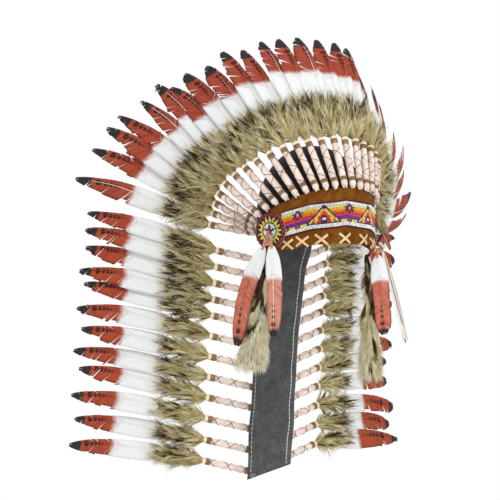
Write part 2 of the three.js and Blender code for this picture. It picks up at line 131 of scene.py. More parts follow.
# =====================================================================
# mesh building
# =====================================================================
class Bag:
    """Collects vertices, faces and three sets of map values, then makes one mesh."""

    def __init__(self):
        self.v, self.quads, self.tris = [], [], []
        self.uv, self.uv2, self.uv3 = [], [], []
        self.mq, self.mt = [], []
        self.n = 0
        self.third = False

    def add(self, verts, quads=None, tris=None, uv=None, uv2=None, mat=0, uv3=None):
        verts = np.asarray(verts, float).reshape(-1, 3)
        k = len(verts)
        self.v.append(verts)
        self.uv.append(np.zeros((k, 2)) if uv is None else np.asarray(uv, float).reshape(k, 2))
        if uv2 is None:
            uv2 = (0.5, 0.5)
        uv2 = np.asarray(uv2, float)
        self.uv2.append(np.tile(uv2, (k, 1)) if uv2.ndim == 1 else uv2.reshape(k, 2))
        self.uv3.append(np.zeros((k, 2)) if uv3 is None else np.asarray(uv3, float).reshape(k, 2))
        self.third = self.third or uv3 is not None
        if quads is not None and len(quads):
            q = np.asarray(quads, np.int64).reshape(-1, 4) + self.n
            self.quads.append(q)
            self.mq.append(np.full(len(q), mat) if np.isscalar(mat) else np.asarray(mat))
        if tris is not None and len(tris):
            t = np.asarray(tris, np.int64).reshape(-1, 3) + self.n
            self.tris.append(t)
            self.mt.append(np.full(len(t), mat if np.isscalar(mat) else 0))
        self.n += k

    def make(self, name, materials, smooth_shade=True):
        v = np.concatenate(self.v) * MM
        quads = np.concatenate(self.quads) if self.quads else np.zeros((0, 4), np.int64)
        tris = np.concatenate(self.tris) if self.tris else np.zeros((0, 3), np.int64)
        loops = np.concatenate([quads.ravel(), tris.ravel()]).astype(np.int32)
        starts = np.concatenate([
            np.arange(len(quads)) * 4, len(quads) * 4 + np.arange(len(tris)) * 3,
        ]).astype(np.int32)
        me = bpy.data.meshes.new(name)
        me.vertices.add(len(v))
        me.vertices.foreach_set("co", v.astype(np.float32).ravel())
        me.loops.add(len(loops))
        me.loops.foreach_set("vertex_index", loops)
        me.polygons.add(len(starts))
        me.polygons.foreach_set("loop_start", starts)
        mats = np.concatenate(self.mq + self.mt) if (self.mq or self.mt) else []
        me.polygons.foreach_set("material_index", np.asarray(mats, np.int32))
        me.polygons.foreach_set("use_smooth", np.full(len(starts), smooth_shade))
        layers = [("Map", self.uv), ("Rand", self.uv2)] + ([("Edge", self.uv3)] if self.third else [])
        for layer, parts in layers:
            data = np.concatenate(parts)
            uvl = me.uv_layers.new(name=layer)
            uvl.data.foreach_set("uv", data[loops].astype(np.float32).ravel())
        me.update(calc_edges=True)
        me.validate()
        ob = bpy.data.objects.new(name, me)
        bpy.context.scene.collection.objects.link(ob)
        for m in materials:
            me.materials.append(m)
        return ob


def outward(verts, quads, tris):
    """Turns a closed body right side out."""
    verts = np.asarray(verts, float)
    quads = np.asarray(quads, np.int64).reshape(-1, 4)
    tris = np.asarray(tris, np.int64).reshape(-1, 3)
    t = np.concatenate([quads[:, [0, 1, 2]], quads[:, [0, 2, 3]], tris])
    c = verts.mean(0)
    a, b, d = (verts[t[:, i]] - c for i in range(3))
    if np.einsum("ij,ij->i", a, np.cross(b, d)).sum() < 0:
        return quads[:, ::-1], tris[:, ::-1]
    return quads, tris


def loft(bag, rings, us=None, uv2=None, mat=0, closed=True, mats=None, fan=True):
    """A closed body through rings of equal length. mats gives a material for
    each band between two rings."""
    rings = np.asarray(rings, float)
    m, n = rings.shape[:2]
    verts = rings.reshape(-1, 3)
    i = np.arange(m - 1)[:, None] * n
    j = np.arange(n)[None, :]
    k = (j + 1) % n
    quads = np.stack([i + j, i + k, i + n + k, i + n + j], -1).reshape(-1, 4)
    tris = []
    if closed:
        for q in range(1, n - 1):
            tris.append([0, q + 1, q])
            tris.append([(m - 1) * n, (m - 1) * n + q, (m - 1) * n + q + 1])
    quads, tris = outward(verts, quads, tris)
    us = np.linspace(0, 1, m) if us is None else np.asarray(us, float)
    uv = np.stack([np.repeat(us, n), np.tile(np.arange(n) / n, m)], -1)
    mat_q = mat
    if mats is not None:
        mat_q = np.repeat(np.asarray(mats), n)
    b = bag
    b.add(verts, quads, tris, uv, uv2, mat_q)


def tube(bag, points, radius, sides=8, mat=0, uv2=None, flat=1.0, up=None):
    """A closed tube along points; radius may be a list; flat squashes it
    across the direction up."""
    p = np.asarray(points, float)
    n = len(p)
    d = unit(np.gradient(p, axis=0))
    ref = np.array([0.31, 0.17, 0.93]) if up is None else np.asarray(up, float)
    if ref.ndim == 1:
        ref = np.tile(ref, (n, 1))
    w = unit(np.cross(d, ref))
    if up is None:  # carry the side along, so that the tube does not twist
        for i in range(1, n):
            v = w[i - 1] - d[i] * np.dot(w[i - 1], d[i])
            w[i] = v / max(np.linalg.norm(v), 1e-9)
    u = np.cross(w, d)
    r = np.full(n, float(radius)) if np.isscalar(radius) else np.asarray(radius, float)
    t = 2 * np.pi * np.arange(sides) / sides
    rings = (p[:, None, :]
             + w[:, None, :] * (np.cos(t)[None, :, None] * r[:, None, None])
             + u[:, None, :] * (np.sin(t)[None, :, None] * r[:, None, None] * flat))
    loft(bag, rings, mat=mat, uv2=uv2)


def strands(bag, root, way, bend, length, width, tint, mat=0):
    """Many closed, tapering three-sided hairs."""
    k = len(root)
    if not k:
        return
    way = unit(way)
    side = unit(np.cross(way, unit(rng.normal(size=(k, 3)))))
    other = np.cross(way, side)
    t = np.array([0.0, 0.5, 1.0])
    mid = root + way * (length * 0.5)[:, None] + bend * (length * 0.22)[:, None]
    tip = root + way * length[:, None] + bend * (length * 0.85)[:, None]
    verts = np.zeros((k, 7, 3))
    for j in range(3):
        a = 2 * math.pi * j / 3
        off = side * math.cos(a) + other * math.sin(a)
        verts[:, j] = root + off * width[:, None]
        verts[:, 3 + j] = mid + off * (width * 0.78)[:, None]
    verts[:, 6] = tip
    base = (np.arange(k) * 7)[:, None]
    quads = np.concatenate([base + np.array([[j, (j + 1) % 3, 3 + (j + 1) % 3, 3 + j]])
                            for j in range(3)])
    tris = np.concatenate([base + np.array([[3 + j, 3 + (j + 1) % 3, 6]]) for j in range(3)]
                          + [base + np.array([[0, 2, 1]])])
    uv = np.zeros((k, 7, 2))
    uv[:, :3, 0], uv[:, 3:6, 0], uv[:, 6, 0] = 0.0, 0.5, 1.0
    uv[:, :, 1] = tint[:, None]
    bag.add(verts.reshape(-1, 3), quads, tris, uv.reshape(-1, 2), None, mat)


# =====================================================================
# materials
# =====================================================================
class Mat:
    """A small helper that wires a procedural material."""

    def __init__(self, name, base=(0.5, 0.5, 0.5, 1), rough=0.6, spec=0.4, **kw):
        self.m = bpy.data.materials.new(name)
        self.m.use_nodes = True
        self.t = self.m.node_tree
        self.b = self.t.nodes["Principled BSDF"]
        self.b.inputs["Base Color"].default_value = base
        self.b.inputs["Roughness"].default_value = rough
        self.b.inputs["Specular IOR Level"].default_value = spec
        for k, v in kw.items():
            self.b.inputs[k.replace("_", " ")].default_value = v
        self.m.diffuse_color = base

    def node(self, kind, **kw):
        n = self.t.nodes.new(kind)
        for k, v in kw.items():
            setattr(n, k, v)
        return n

    def link(self, a, b):
        self.t.links.new(a, b)

    def put(self, socket, value):
        if isinstance(value, bpy.types.NodeSocket):
            self.link(value, socket)
        else:
            socket.default_value = value

    def coords(self):
        return self.node("ShaderNodeTexCoord").outputs["Object"]

    def uv(self, layer="Map"):
        return self.node("ShaderNodeUVMap", uv_map=layer).outputs["UV"]

    def split(self, vec):
        n = self.node("ShaderNodeSeparateXYZ")
        self.link(vec, n.inputs[0])
        return n.outputs[0], n.outputs[1], n.outputs[2]

    def join(self, x, y, z=0.0):
        n = self.node("ShaderNodeCombineXYZ")
        for i, v in enumerate((x, y, z)):
            self.put(n.inputs[i], v)
        return n.outputs[0]

    def math(self, op, a, b=0.0, c=0.0):
        n = self.node("ShaderNodeMath", operation=op)
        self.put(n.inputs[0], a)
        self.put(n.inputs[1], b)
        self.put(n.inputs[2], c)
        return n.outputs[0]

    def noise(self, vec, scale, detail=2.0, rough=0.5, colour=False):
        n = self.node("ShaderNodeTexNoise")
        self.put(n.inputs["Vector"], vec)
        n.inputs["Scale"].default_value = scale
        n.inputs["Detail"].default_value = detail
        n.inputs["Roughness"].default_value = rough
        return n.outputs["Color" if colour else "Fac"]

    def ramp(self, fac, stops, mode="LINEAR"):
        n = self.node("ShaderNodeValToRGB")
        n.color_ramp.interpolation = mode
        el = n.color_ramp.elements
        while len(el) > 1:
            el.remove(el[-1])
        el[0].position, el[0].color = stops[0]
        for p, c in stops[1:]:
            e = el.new(p)
            e.color = c
        self.put(n.inputs[0], fac)
        return n.outputs[0]

    def mix(self, fac, a, b, blend="MIX"):
        n = self.node("ShaderNodeMix", data_type="RGBA", blend_type=blend)
        self.put(n.inputs[0], fac)
        self.put(n.inputs[6], a)
        self.put(n.inputs[7], b)
        return n.outputs[2]

    def step(self, x, at, width):
        """0 below at, 1 above, over a soft width."""
        n = self.node("ShaderNodeMapRange", interpolation_type="SMOOTHSTEP")
        self.put(n.inputs[0], x)
        self.put(n.inputs[1], self.math("SUBTRACT", at, width) if isinstance(at, bpy.types.NodeSocket) else at - width)
        self.put(n.inputs[2], self.math("ADD", at, width) if isinstance(at, bpy.types.NodeSocket) else at + width)
        n.inputs[3].default_value, n.inputs[4].default_value = 0.0, 1.0
        return n.outputs[0]

    def bump(self, height, strength=0.3, distance=0.0005):
        n = self.node("ShaderNodeBump")
        n.inputs["Strength"].default_value = strength
        n.inputs["Distance"].default_value = distance
        self.put(n.inputs["Height"], height)
        self.link(n.outputs[0], self.b.inputs["Normal"])

    def colour(self, c):
        self.put(self.b.inputs["Base Color"], c)
        return self


def felt_material(name, dark, mid, light, scale=650.0):
    m = Mat(name, mid, 0.95, 0.15)
    c = m.coords()
    n1 = m.noise(c, scale, 3.0, 0.65)
    n2 = m.noise(c, scale * 0.11, 2.0, 0.5)
    f = m.math("ADD", m.math("MULTIPLY", n1, 0.8), m.math("MULTIPLY", n2, 0.25))
    m.colour(m.ramp(f, [(0.34, dark), (0.52, mid), (0.70, light)]))
    m.bump(n1, 0.55, 0.0006)
    m.b.inputs["Sheen Weight"].default_value = 0.08
    m.b.inputs["Sheen Roughness"].default_value = 0.6
    return m.m


def leather_material(name, base, dark, light, rough=0.75, scale=300.0, bump=0.35, sheen=0.0):
    m = Mat(name, base, rough, 0.25)
    c = m.coords()
    n1 = m.noise(c, scale, 4.0, 0.6)
    n2 = m.noise(c, scale * 0.16, 3.0, 0.55)
    f = m.math("ADD", m.math("MULTIPLY", n1, 0.45), m.math("MULTIPLY", n2, 0.55))
    m.colour(m.ramp(f, [(0.36, dark), (0.5, base), (0.66, light)]))
    m.bump(m.math("ADD", n1, m.math("MULTIPLY", n2, 1.3)), bump, 0.0006)
    m.b.inputs["Sheen Weight"].default_value = sheen
    return m.m


def fur_material(name):
    m = Mat(name, srgb(170, 158, 114), 0.8, 0.15)
    along, tint, _ = m.split(m.uv())
    patch = m.noise(m.coords(), 120.0, 2.0, 0.6)
    f = m.math("ADD", m.math("MULTIPLY", tint, 0.86), m.math("MULTIPLY", m.math("SUBTRACT", patch, 0.5), 0.30))
    f = m.math("ADD", f, m.math("MULTIPLY", along, 0.10))
    col = m.ramp(f, [
        (0.06, srgb(50, 36, 20)), (0.20, srgb(108, 90, 54)), (0.40, srgb(192, 175, 120)),
        (0.60, srgb(226, 213, 160)), (0.80, srgb(246, 237, 198)), (0.98, srgb(252, 248, 230)),
    ])
    m.colour(col)
    return m.m


def feather_material(name, coral=False):
    """Feather vane. Map.x runs from quill to tip and Map.y holds the distance
    from the quill (0.5 is the quill, 1/40 a millimetre); Rand.x is where the
    red begins, Rand.y a value for this feather; Edge.x is 0 at the quill and
    1 at the vane's edge."""
    m = Mat(name, srgb(178, 72, 45), 0.62, 0.25)
    u, v, _ = m.split(m.uv())
    start, lot, _ = m.split(m.uv("Rand"))
    side, _, _ = m.split(m.uv("Edge"))
    # fine streaks along the barbs, and broader patches
    barbs = m.noise(m.join(m.math("MULTIPLY", u, 190.0), m.math("MULTIPLY", v, 5.0), m.math("MULTIPLY", lot, 37.0)), 1.0, 2.0, 0.6)
    broad = m.noise(m.join(m.math("MULTIPLY", u, 22.0), m.math("MULTIPLY", v, 4.0), m.math("MULTIPLY", lot, 19.0)), 1.0, 2.0, 0.5)
    shake = m.math("MULTIPLY", m.math("SUBTRACT", broad, 0.5), 0.035)
    shake2 = m.math("MULTIPLY", m.math("SUBTRACT", barbs, 0.5), 0.025)
    ub = m.math("ADD", u, m.math("ADD", shake, shake2))
    if coral:
        warm, rose, deep = srgb(206, 100, 74), srgb(228, 160, 142), srgb(164, 84, 64)
    else:
        warm, rose, deep = srgb(188, 78, 42), srgb(172, 76, 58), srgb(128, 46, 28)
    hue = m.math("ADD", m.math("MULTIPLY", lot, 0.8), m.math("MULTIPLY", m.math("SUBTRACT", broad, 0.5), 1.2))
    red = m.mix(hue, warm, rose)
    red = m.mix(m.math("MULTIPLY", m.math("SUBTRACT", 1.0, barbs), 0.75), red, deep)
    # the light-grey streaks in the white are painted shade along the barbs
    white = m.mix(m.math("ADD", m.math("MULTIPLY", barbs, 1.6), -0.3), srgb(218, 220, 222), srgb(246, 246, 246))
    # towards the quill the white turns a little cream
    cream = white if coral else m.mix(m.step(u, 0.36, 0.12), srgb(224, 219, 203), white)
    pink = m.mix(0.5, red, srgb(240, 214, 206))
    c = m.mix(m.step(ub, start, 0.010), cream, pink)
    c = m.mix(m.step(ub, m.math("ADD", start, 0.018), 0.012), c, red)
    # how far along the coloured part
    t = m.math("DIVIDE", m.math("SUBTRACT", u, start), m.math("SUBTRACT", 1.0, start))
    tb = m.math("ADD", t, m.math("MULTIPLY", m.math("SUBTRACT", barbs, 0.5), 0.05))
    coloured = m.step(t, 0.04, 0.03)
    black = m.mix(barbs, srgb(22, 18, 18), srgb(60, 52, 50))
    tip_at = 0.86 if coral else m.math("SUBTRACT", 0.715, m.math("MULTIPLY", lot, 0.02))
    c = m.mix(m.step(tb, tip_at, 0.04 if coral else 0.022), c, black)
    # dark rim along the red part's edges
    rim = m.math("MULTIPLY", m.step(side, 0.90, 0.08), coloured)
    c = m.mix(m.math("MULTIPLY", rim, 0.55), c, srgb(74, 30, 20))
    # a few barbs left pale inside the red
    fleck = m.math("MULTIPLY", m.step(barbs, 0.735, 0.02), m.math("MULTIPLY", coloured, m.step(side, 0.35, 0.15)))
    c = m.mix(m.math("MULTIPLY", fleck, 0.5), c, srgb(236, 206, 190))
    # painted spots beside the quill, the largest nearest the tip
    spots = None
    dots = ((0.78, 0.040, 3.4), (0.655, 0.030, 2.5), (0.56, 0.028, 2.3), (0.475, 0.022, 1.9)) if coral else (
        (0.590, 0.050, 4.6), (0.480, 0.036, 3.5), (0.395, 0.032, 3.2), (0.320, 0.029, 2.9), (0.255, 0.019, 1.9))
    for at, ru, rv in dots:
        du = m.math("DIVIDE", m.math("SUBTRACT", t, at), ru)
        dv = m.math("DIVIDE", m.math("SUBTRACT", v, 0.5 + (0.0 if coral else 0.012)), rv / 40.0)
        d = m.math("SQRT", m.math("ADD", m.math("MULTIPLY", du, du), m.math("MULTIPLY", dv, dv)))
        spots = d if spots is None else m.math("MINIMUM", spots, d)
    spots = m.math("SUBTRACT", 1.0, m.step(spots, m.math("ADD", 0.84, m.math("MULTIPLY", barbs, 0.3)), 0.10))
    spots = m.math("MULTIPLY", spots, coloured)
    c = m.mix(m.math("MULTIPLY", spots, 0.95), c, srgb(36, 18, 18))
    m.colour(c)
    m.bump(barbs, 0.22, 0.0003)
    return m.m


def bead_material(name, rgb, rough=0.22):
    m = Mat(name, srgb(*rgb), rough, 0.6)
    c = m.coords()
    n = m.noise(c, 420.0, 1.0, 0.5)
    lo = srgb(*[max(0, int(x * 0.82)) for x in rgb])
    hi = srgb(*[min(255, int(x * 1.06 + 6)) for x in rgb])
    m.colour(m.ramp(n, [(0.35, lo), (0.65, hi)]))
    m.b.inputs["Coat Weight"].default_value = 0.25
    m.b.inputs["Coat Roughness"].default_value = 0.15
    return m.m


def thread_material(name, rgb, rough=0.8):
    m = Mat(name, srgb(*rgb), rough, 0.2)
    n = m.noise(m.coords(), 1500.0, 2.0, 0.6)
    m.colour(m.ramp(n, [(0.3, srgb(*[int(x * 0.78) for x in rgb])), (0.7, srgb(*rgb))]))
    m.bump(n, 0.4, 0.0003)
    return m.m


M_FELT = felt_material("grey_felt", srgb(54, 56, 57), srgb(77, 79, 79), srgb(112, 114, 114))
M_CAP = felt_material("black_felt", srgb(16, 13, 13), srgb(28, 24, 24), srgb(46, 41, 40), 800.0)
M_MAROON = felt_material("maroon_felt", srgb(58, 10, 20), srgb(96, 20, 32), srgb(130, 34, 46), 900.0)
M_SUEDE = leather_material("brown_suede", srgb(116, 68, 18), srgb(94, 50, 8), srgb(138, 86, 30), 0.95, 520.0, 0.4, 0.04)
M_SUEDE.node_tree.nodes["Principled BSDF"].inputs["Specular IOR Level"].default_value = 0.05
M_SLEEVE = leather_material("pale_leather", srgb(238, 219, 206), srgb(214, 190, 173), srgb(248, 235, 225), 0.7, 330.0, 0.5)
M_WRAP = leather_material("brown_wrap", srgb(146, 116, 84), srgb(112, 82, 56), srgb(172, 142, 106), 0.8, 420.0, 0.4)
M_RING = leather_material("cream_wrap", srgb(246, 228, 196), srgb(228, 202, 164), srgb(252, 242, 222), 0.7, 420.0, 0.3)
M_TAN = leather_material("tan_leather", srgb(206, 160, 120), srgb(178, 130, 92), srgb(224, 186, 150), 0.75, 380.0, 0.4)
M_PINK = leather_material("red_tan_wrap", srgb(190, 112, 86), srgb(156, 82, 60), srgb(212, 140, 112), 0.75, 380.0, 0.4)
# used for the dark hide and, on the pale drop feather, for painted shadow lines
M_DARK = leather_material("dark_thong", srgb(58, 34, 26), srgb(38, 22, 18), srgb(84, 54, 40), 0.8, 380.0, 0.4)
M_LACE = thread_material("brown_lace", (104, 84, 66))
M_CROSS = leather_material("cream_thong", srgb(232, 198, 148), srgb(206, 166, 112), srgb(244, 216, 176), 0.7, 420.0, 0.35)
M_THREAD = thread_material("white_thread", (232, 234, 234))
M_PURPLE = thread_material("purple_thread", (56, 26, 62))
M_FUR = fur_material("olive_fur")
M_VANE = feather_material("feather_vane")
M_CORAL = feather_material("feather_vane_coral", coral=True)


def quill_material():
    m = Mat("quill", srgb(232, 224, 204), 0.4, 0.4)
    u, v, _ = m.split(m.uv())
    start, lot, _ = m.split(m.uv("Rand"))
    n = m.noise(m.coords(), 500.0, 2.0)
    pale = m.mix(n, srgb(232, 228, 214), srgb(248, 246, 238))
    warm = m.mix(m.step(lot, 0.84, 0.03), srgb(132, 62, 42), srgb(238, 214, 196))
    c = m.mix(m.step(u, m.math("ADD", start, 0.02), 0.03), pale, warm)
    c = m.mix(m.step(u, 0.88, 0.03), c, srgb(40, 30, 28))
    m.colour(c)
    m.bump(n, 0.15, 0.0002)
    return m.m


M_QUILL = quill_material()

BEADS = {
    "w": bead_material("bead_white", (240, 240, 238)),
    "m": bead_material("bead_mint", (208, 220, 188)),
    "y": bead_material("bead_yellow", (250, 226, 92)),
    "g": bead_material("bead_gold", (246, 182, 40)),
    "o": bead_material("bead_orange", (240, 128, 32)),
    "r": bead_material("bead_red", (214, 50, 30)),
    "k": bead_material("bead_pink", (226, 62, 110)),
    "p": bead_material("bead_violet", (104, 40, 150)),
    "n": bead_material("bead_navy", (34, 24, 78)),
    "d": bead_material("bead_dark_brown", (48, 18, 12)),
    "c": bead_material("bead_maroon", (104, 24, 36)),
}

# =====================================================================
# plume lines, as in the construction model
# =====================================================================
STEP = 3.0


def plume_line(foot, sleeve, blade, length, droop):
    total = SLEEVE + length
    pts, ways = [np.array(foot, float)], [sleeve.copy()]
    p = np.array(foot, float)
    s = STEP
    while s <= total + 1e-6:
        t = float(smooth((s - 0.82 * SLEEVE) / (0.42 * SLEEVE)))
        d = unit(sleeve * (1 - t) + blade * t)
        u = (s - SLEEVE) / length
        if u > 0:
            d[2] += droop * (0.5 - 1.15 * u * u)
        d = unit(d)
        p = p + d * STEP
        pts.append(p)
        ways.append(d)
        s += STEP
    return np.array(pts), np.array(ways)


class Plume:
    def __init__(self, name, foot, sleeve, blade, length, droop, side, fur_wide, broad, twist, facing, red_at):
        self.name, self.length, self.side = name, length, unit(side)
        self.pts, self.ways = plume_line(foot, sleeve, blade, length, droop)
        self.fur_wide, self.broad, self.twist = fur_wide, broad, twist
        self.facing, self.red_at = facing, red_at
        self.total = SLEEVE + length

    def at(self, s):
        """Centre, direction, width direction and normal at distances s."""
        s = np.atleast_1d(np.asarray(s, float))
        f = np.clip(s / STEP, 0, len(self.pts) - 1.001)
        i = np.floor(f).astype(int)
        t = (f - i)[:, None]
        c = self.pts[i] * (1 - t) + self.pts[i + 1] * t
        d = unit(self.ways[i] * (1 - t) + self.ways[i + 1] * t)
        c = c + d * (s - f * STEP)[:, None]
        w = unit(self.side - d * (d @ self.side)[:, None])
        a = np.radians(self.twist * smooth(((s - SLEEVE) / self.length - 0.02) / 0.3))[:, None]
        w = w * np.cos(a) + np.cross(d, w) * np.sin(a)
        return c, d, w, np.cross(d, w)


def ring_values(angle, k=0):
    """Foot, sleeve way, blade way, blade length and droop of a ring plume."""
    sl = heading(column(RING, angle, 1), column(RING, angle, 2))
    bl = heading(column(RING, angle, 3) + UNEVEN_AZ * math.sin(2.4 * k),
                 column(RING, angle, 4) + UNEVEN_EL * math.sin(1.7 * k))
    length = column(RING, angle, 5) * (1 + UNEVEN_LENGTH * math.sin(2.9 * k))
    foot = ring_point(CAP_A + 6.5, CAP_B + 6.5, angle, edge(1, angle) + 3.0)
    return foot, sl, bl, length, column(RING, angle, 7)


# how long the coloured end looks from the side the camera is on (mm)
RED_SEEN = [(-138, 100), (-120, 92), (-100, 84), (-81, 76), (-58, 70), (-30, 66), (0, 64), (40, 60), (80, 56), (133, 68)]
SIDEWAYS = np.array([math.cos(math.radians(28)), -math.sin(math.radians(28)), 0.0])


def red_start(p, seen, lo=0.47, hi=0.66):
    """Share of the blade where the red begins, so that it looks this long."""
    tip = p.at(p.total)[0][0]
    for q in np.linspace(hi, lo, 40):
        d = tip - p.at(SLEEVE + q * p.length)[0][0]
        if math.hypot(float(d @ SIDEWAYS), d[2]) >= seen:
            return float(q)
    return lo


plumes = []
for i, angle in enumerate(RING_ANGLES):
    foot, sl, bl, length, droop = ring_values(angle, i)
    pts, _ = plume_line(foot, sl, bl, length, droop)
    ends = [plume_line(*ring_values(angle + d))[0] for d in (-4, 4)]
    # Math.round in the construction model rounds half up
    mid = int(math.floor((SLEEVE + 0.5 * length) / STEP + 0.5))
    near = int(math.floor((SLEEVE + 18) / STEP + 0.5))
    side = ends[1][mid] - ends[0][mid]
    room = 99.0
    for j in (i - 1, i + 1):
        if 0 <= j < len(RING_ANGLES):
            room = min(room, np.linalg.norm(plume_line(*ring_values(RING_ANGLES[j], j))[0][near] - pts[near]))
    fur_wide = min(26.0, room - 2.7)
    p = Plume("crown_plume_%02d" % (i + 1), foot, sl, bl, length, droop, side,
              fur_wide, min(BLADE_WIDE, fur_wide + 6), column(RING, angle, 6), -1, 0.6)
    p.red_at = red_start(p, column(RED_SEEN, angle, 1))
    plumes.append(p)
for word, sign in (("right", -1), ("left", 1)):
    for i in range(TRAIL_COUNT):
        z = column(TRAIL, i, 1 if word == "right" else 2)
        el = column(TRAIL, i, 3 if word == "right" else 4)
        az = TRAIL_BLADE_AZ if word == "right" else column(TRAIL, i, 5)
        k = i + (5 if sign > 0 else 0)
        back = float(np.interp(z, [r[0] for r in FELT][::-1], [r[1] for r in FELT][::-1]))
        plumes.append(Plume(
            "trailer_plume_%s_%02d" % (word, i + 1),
            np.array([sign * TRAIL_ROOT_X, back + FELT_WALL / 2 + 6.6, z]),
            heading(sign * TRAIL_SLEEVE_AZ, TRAIL_EL[word]),
            heading(sign * (az + UNEVEN_AZ * math.sin(2.4 * k)), el + UNEVEN_EL * math.sin(1.7 * k)),
            TRAIL_BLADE * (1 + UNEVEN_LENGTH * math.sin(2.9 * k)), 0.16,
            (0, 0, 1), 24.5, BLADE_WIDE, -sign * 14, sign,
            0.645 if sign < 0 else (0.60, 0.52)[i == TRAIL_COUNT - 1]))


# =====================================================================
# plume pieces
# =====================================================================
def section_ring(c, w, n, wide, deep, sides=14):
    t = 2 * np.pi * np.arange(sides) / sides
    return (c[None, :] + w[None, :] * (np.cos(t) * wide / 2)[:, None]
            + n[None, :] * (np.sin(t) * deep / 2)[:, None])


SLEEVE_PROFILE = [  # distance, radius, material of the band that follows
    (-2.4, 1.2, 0), (-1.8, 2.7, 0), (-0.2, 4.2, 0), (2.4, 5.2, 0), (5.2, 5.3, 0), (7.6, 4.9, 1),
    (7.9, 5.5, 1), (10.8, 5.7, 1), (14.0, 5.5, 1), (14.3, 5.1, 0), (22, 5.45, 0),
    (34, 5.35, 0), (48, 5.5, 0), (60, 5.3, 0), (72.6, 5.1, 1), (73.0, 5.5, 1),
    (76.6, 5.7, 1), (80.7, 5.5, 2), (81.1, 5.8, 2), (83.0, 5.95, 2), (85.0, 5.5, 2),
    (86.0, 4.2, 2), (86.9, 2.2, 2),
]


def sleeve_piece(p, seed):
    r = np.random.default_rng(seed)
    bag = Bag()
    rings, us, mats = [], [], []
    sides = 14
    t = 2 * np.pi * np.arange(sides) / sides
    for s, rad, mat in SLEEVE_PROFILE:
        c, d, w, n = (x[0] for x in p.at(s))
        wob = 1 + 0.03 * np.sin(2 * t + s * 0.13 + seed) + 0.02 * np.sin(3 * t + s * 0.31)
        if mat == 0 and s < 6:
            wob = wob + 0.09 * np.sin(5 * t + seed) * (6 - s) / 8
        rr = rad * wob
        rings.append(c[None] + w[None] * (np.cos(t) * rr)[:, None] + n[None] * (np.sin(t) * rr)[:, None])
        us.append(s / SLEEVE)
        mats.append(mat)
    loft(bag, rings, us=us, mats=mats[:-1], uv2=(0.5, r.random()))
    # the leather is gathered into a few small ends below the band
    for k in range(3):
        a = 2.1 * k + r.random() * 1.2
        off = 1.7 + 0.9 * r.random()
        long = 3.2 + 2.4 * r.random()
        s = np.array([3.0, 0.0, -long * 0.6, -long])
        c, d, w, n = p.at(s)
        pts = c + w * (math.cos(a) * off * np.array([1, 1.1, 1.2, 1.15]))[:, None] \
            + n * (math.sin(a) * off * np.array([1, 1.1, 1.2, 1.15]))[:, None]
        tube(bag, pts, [2.4, 2.2, 1.7, 0.7], sides=6)
    # criss-cross lacing: two threads wound in opposite ways between the bands
    a0 = r.normal() * 0.45 - (math.pi / 2 if p.name.startswith("trailer") else 0.2)
    turns = 2.0 + 0.25 * r.random()
    for way in (1, -1):
        m = 32
        s = np.linspace(14.4, 72.6, m)
        c, d, w, n = p.at(s)
        ang = a0 + way * 2 * np.pi * turns * np.linspace(0, 1, m)
        rad = 5.62 + 0.1 * way
        pts = c + w * (np.cos(ang) * rad)[:, None] + n * (np.sin(ang) * rad)[:, None]
        tube(bag, pts, 0.5, sides=3, mat=3)
    # winding seen on the brown bands
    for lo, hi in ((8.6, 13.4), (74.0, 80.0)):
        m = 24
        s = np.linspace(lo, hi, m)
        c, d, w, n = p.at(s)
        ang = 2 * np.pi * 2 * np.linspace(0, 1, m)
        pts = c + w * (np.cos(ang) * 5.7)[:, None] + n * (np.sin(ang) * 5.7)[:, None]
        tube(bag, pts, 0.24, sides=3, mat=3)
    return bag.make(p.name + "_sleeve", [M_SLEEVE, M_WRAP, M_RING, M_LACE])


FUR_PROFILE = np.array([  # distance past the sleeve, share of the full width
    (-3, 0.32), (2, 0.60), (8, 0.90), (16, 1.03), (28, 1.06), (42, 1.04), (54, 0.94), (66, 0.70), (76, 0.34),
])


def lock_tones(r, count, dark):
    """A tint for each lock of hair; dark is the share of dark locks."""
    x, y = r.random(count), r.random(count)
    pale = np.where(y < 0.62, 0.64 + 0.22 * r.random(count), 0.42 + 0.16 * r.random(count))
    return np.where(x < dark, 0.00 + 0.14 * r.random(count), pale)


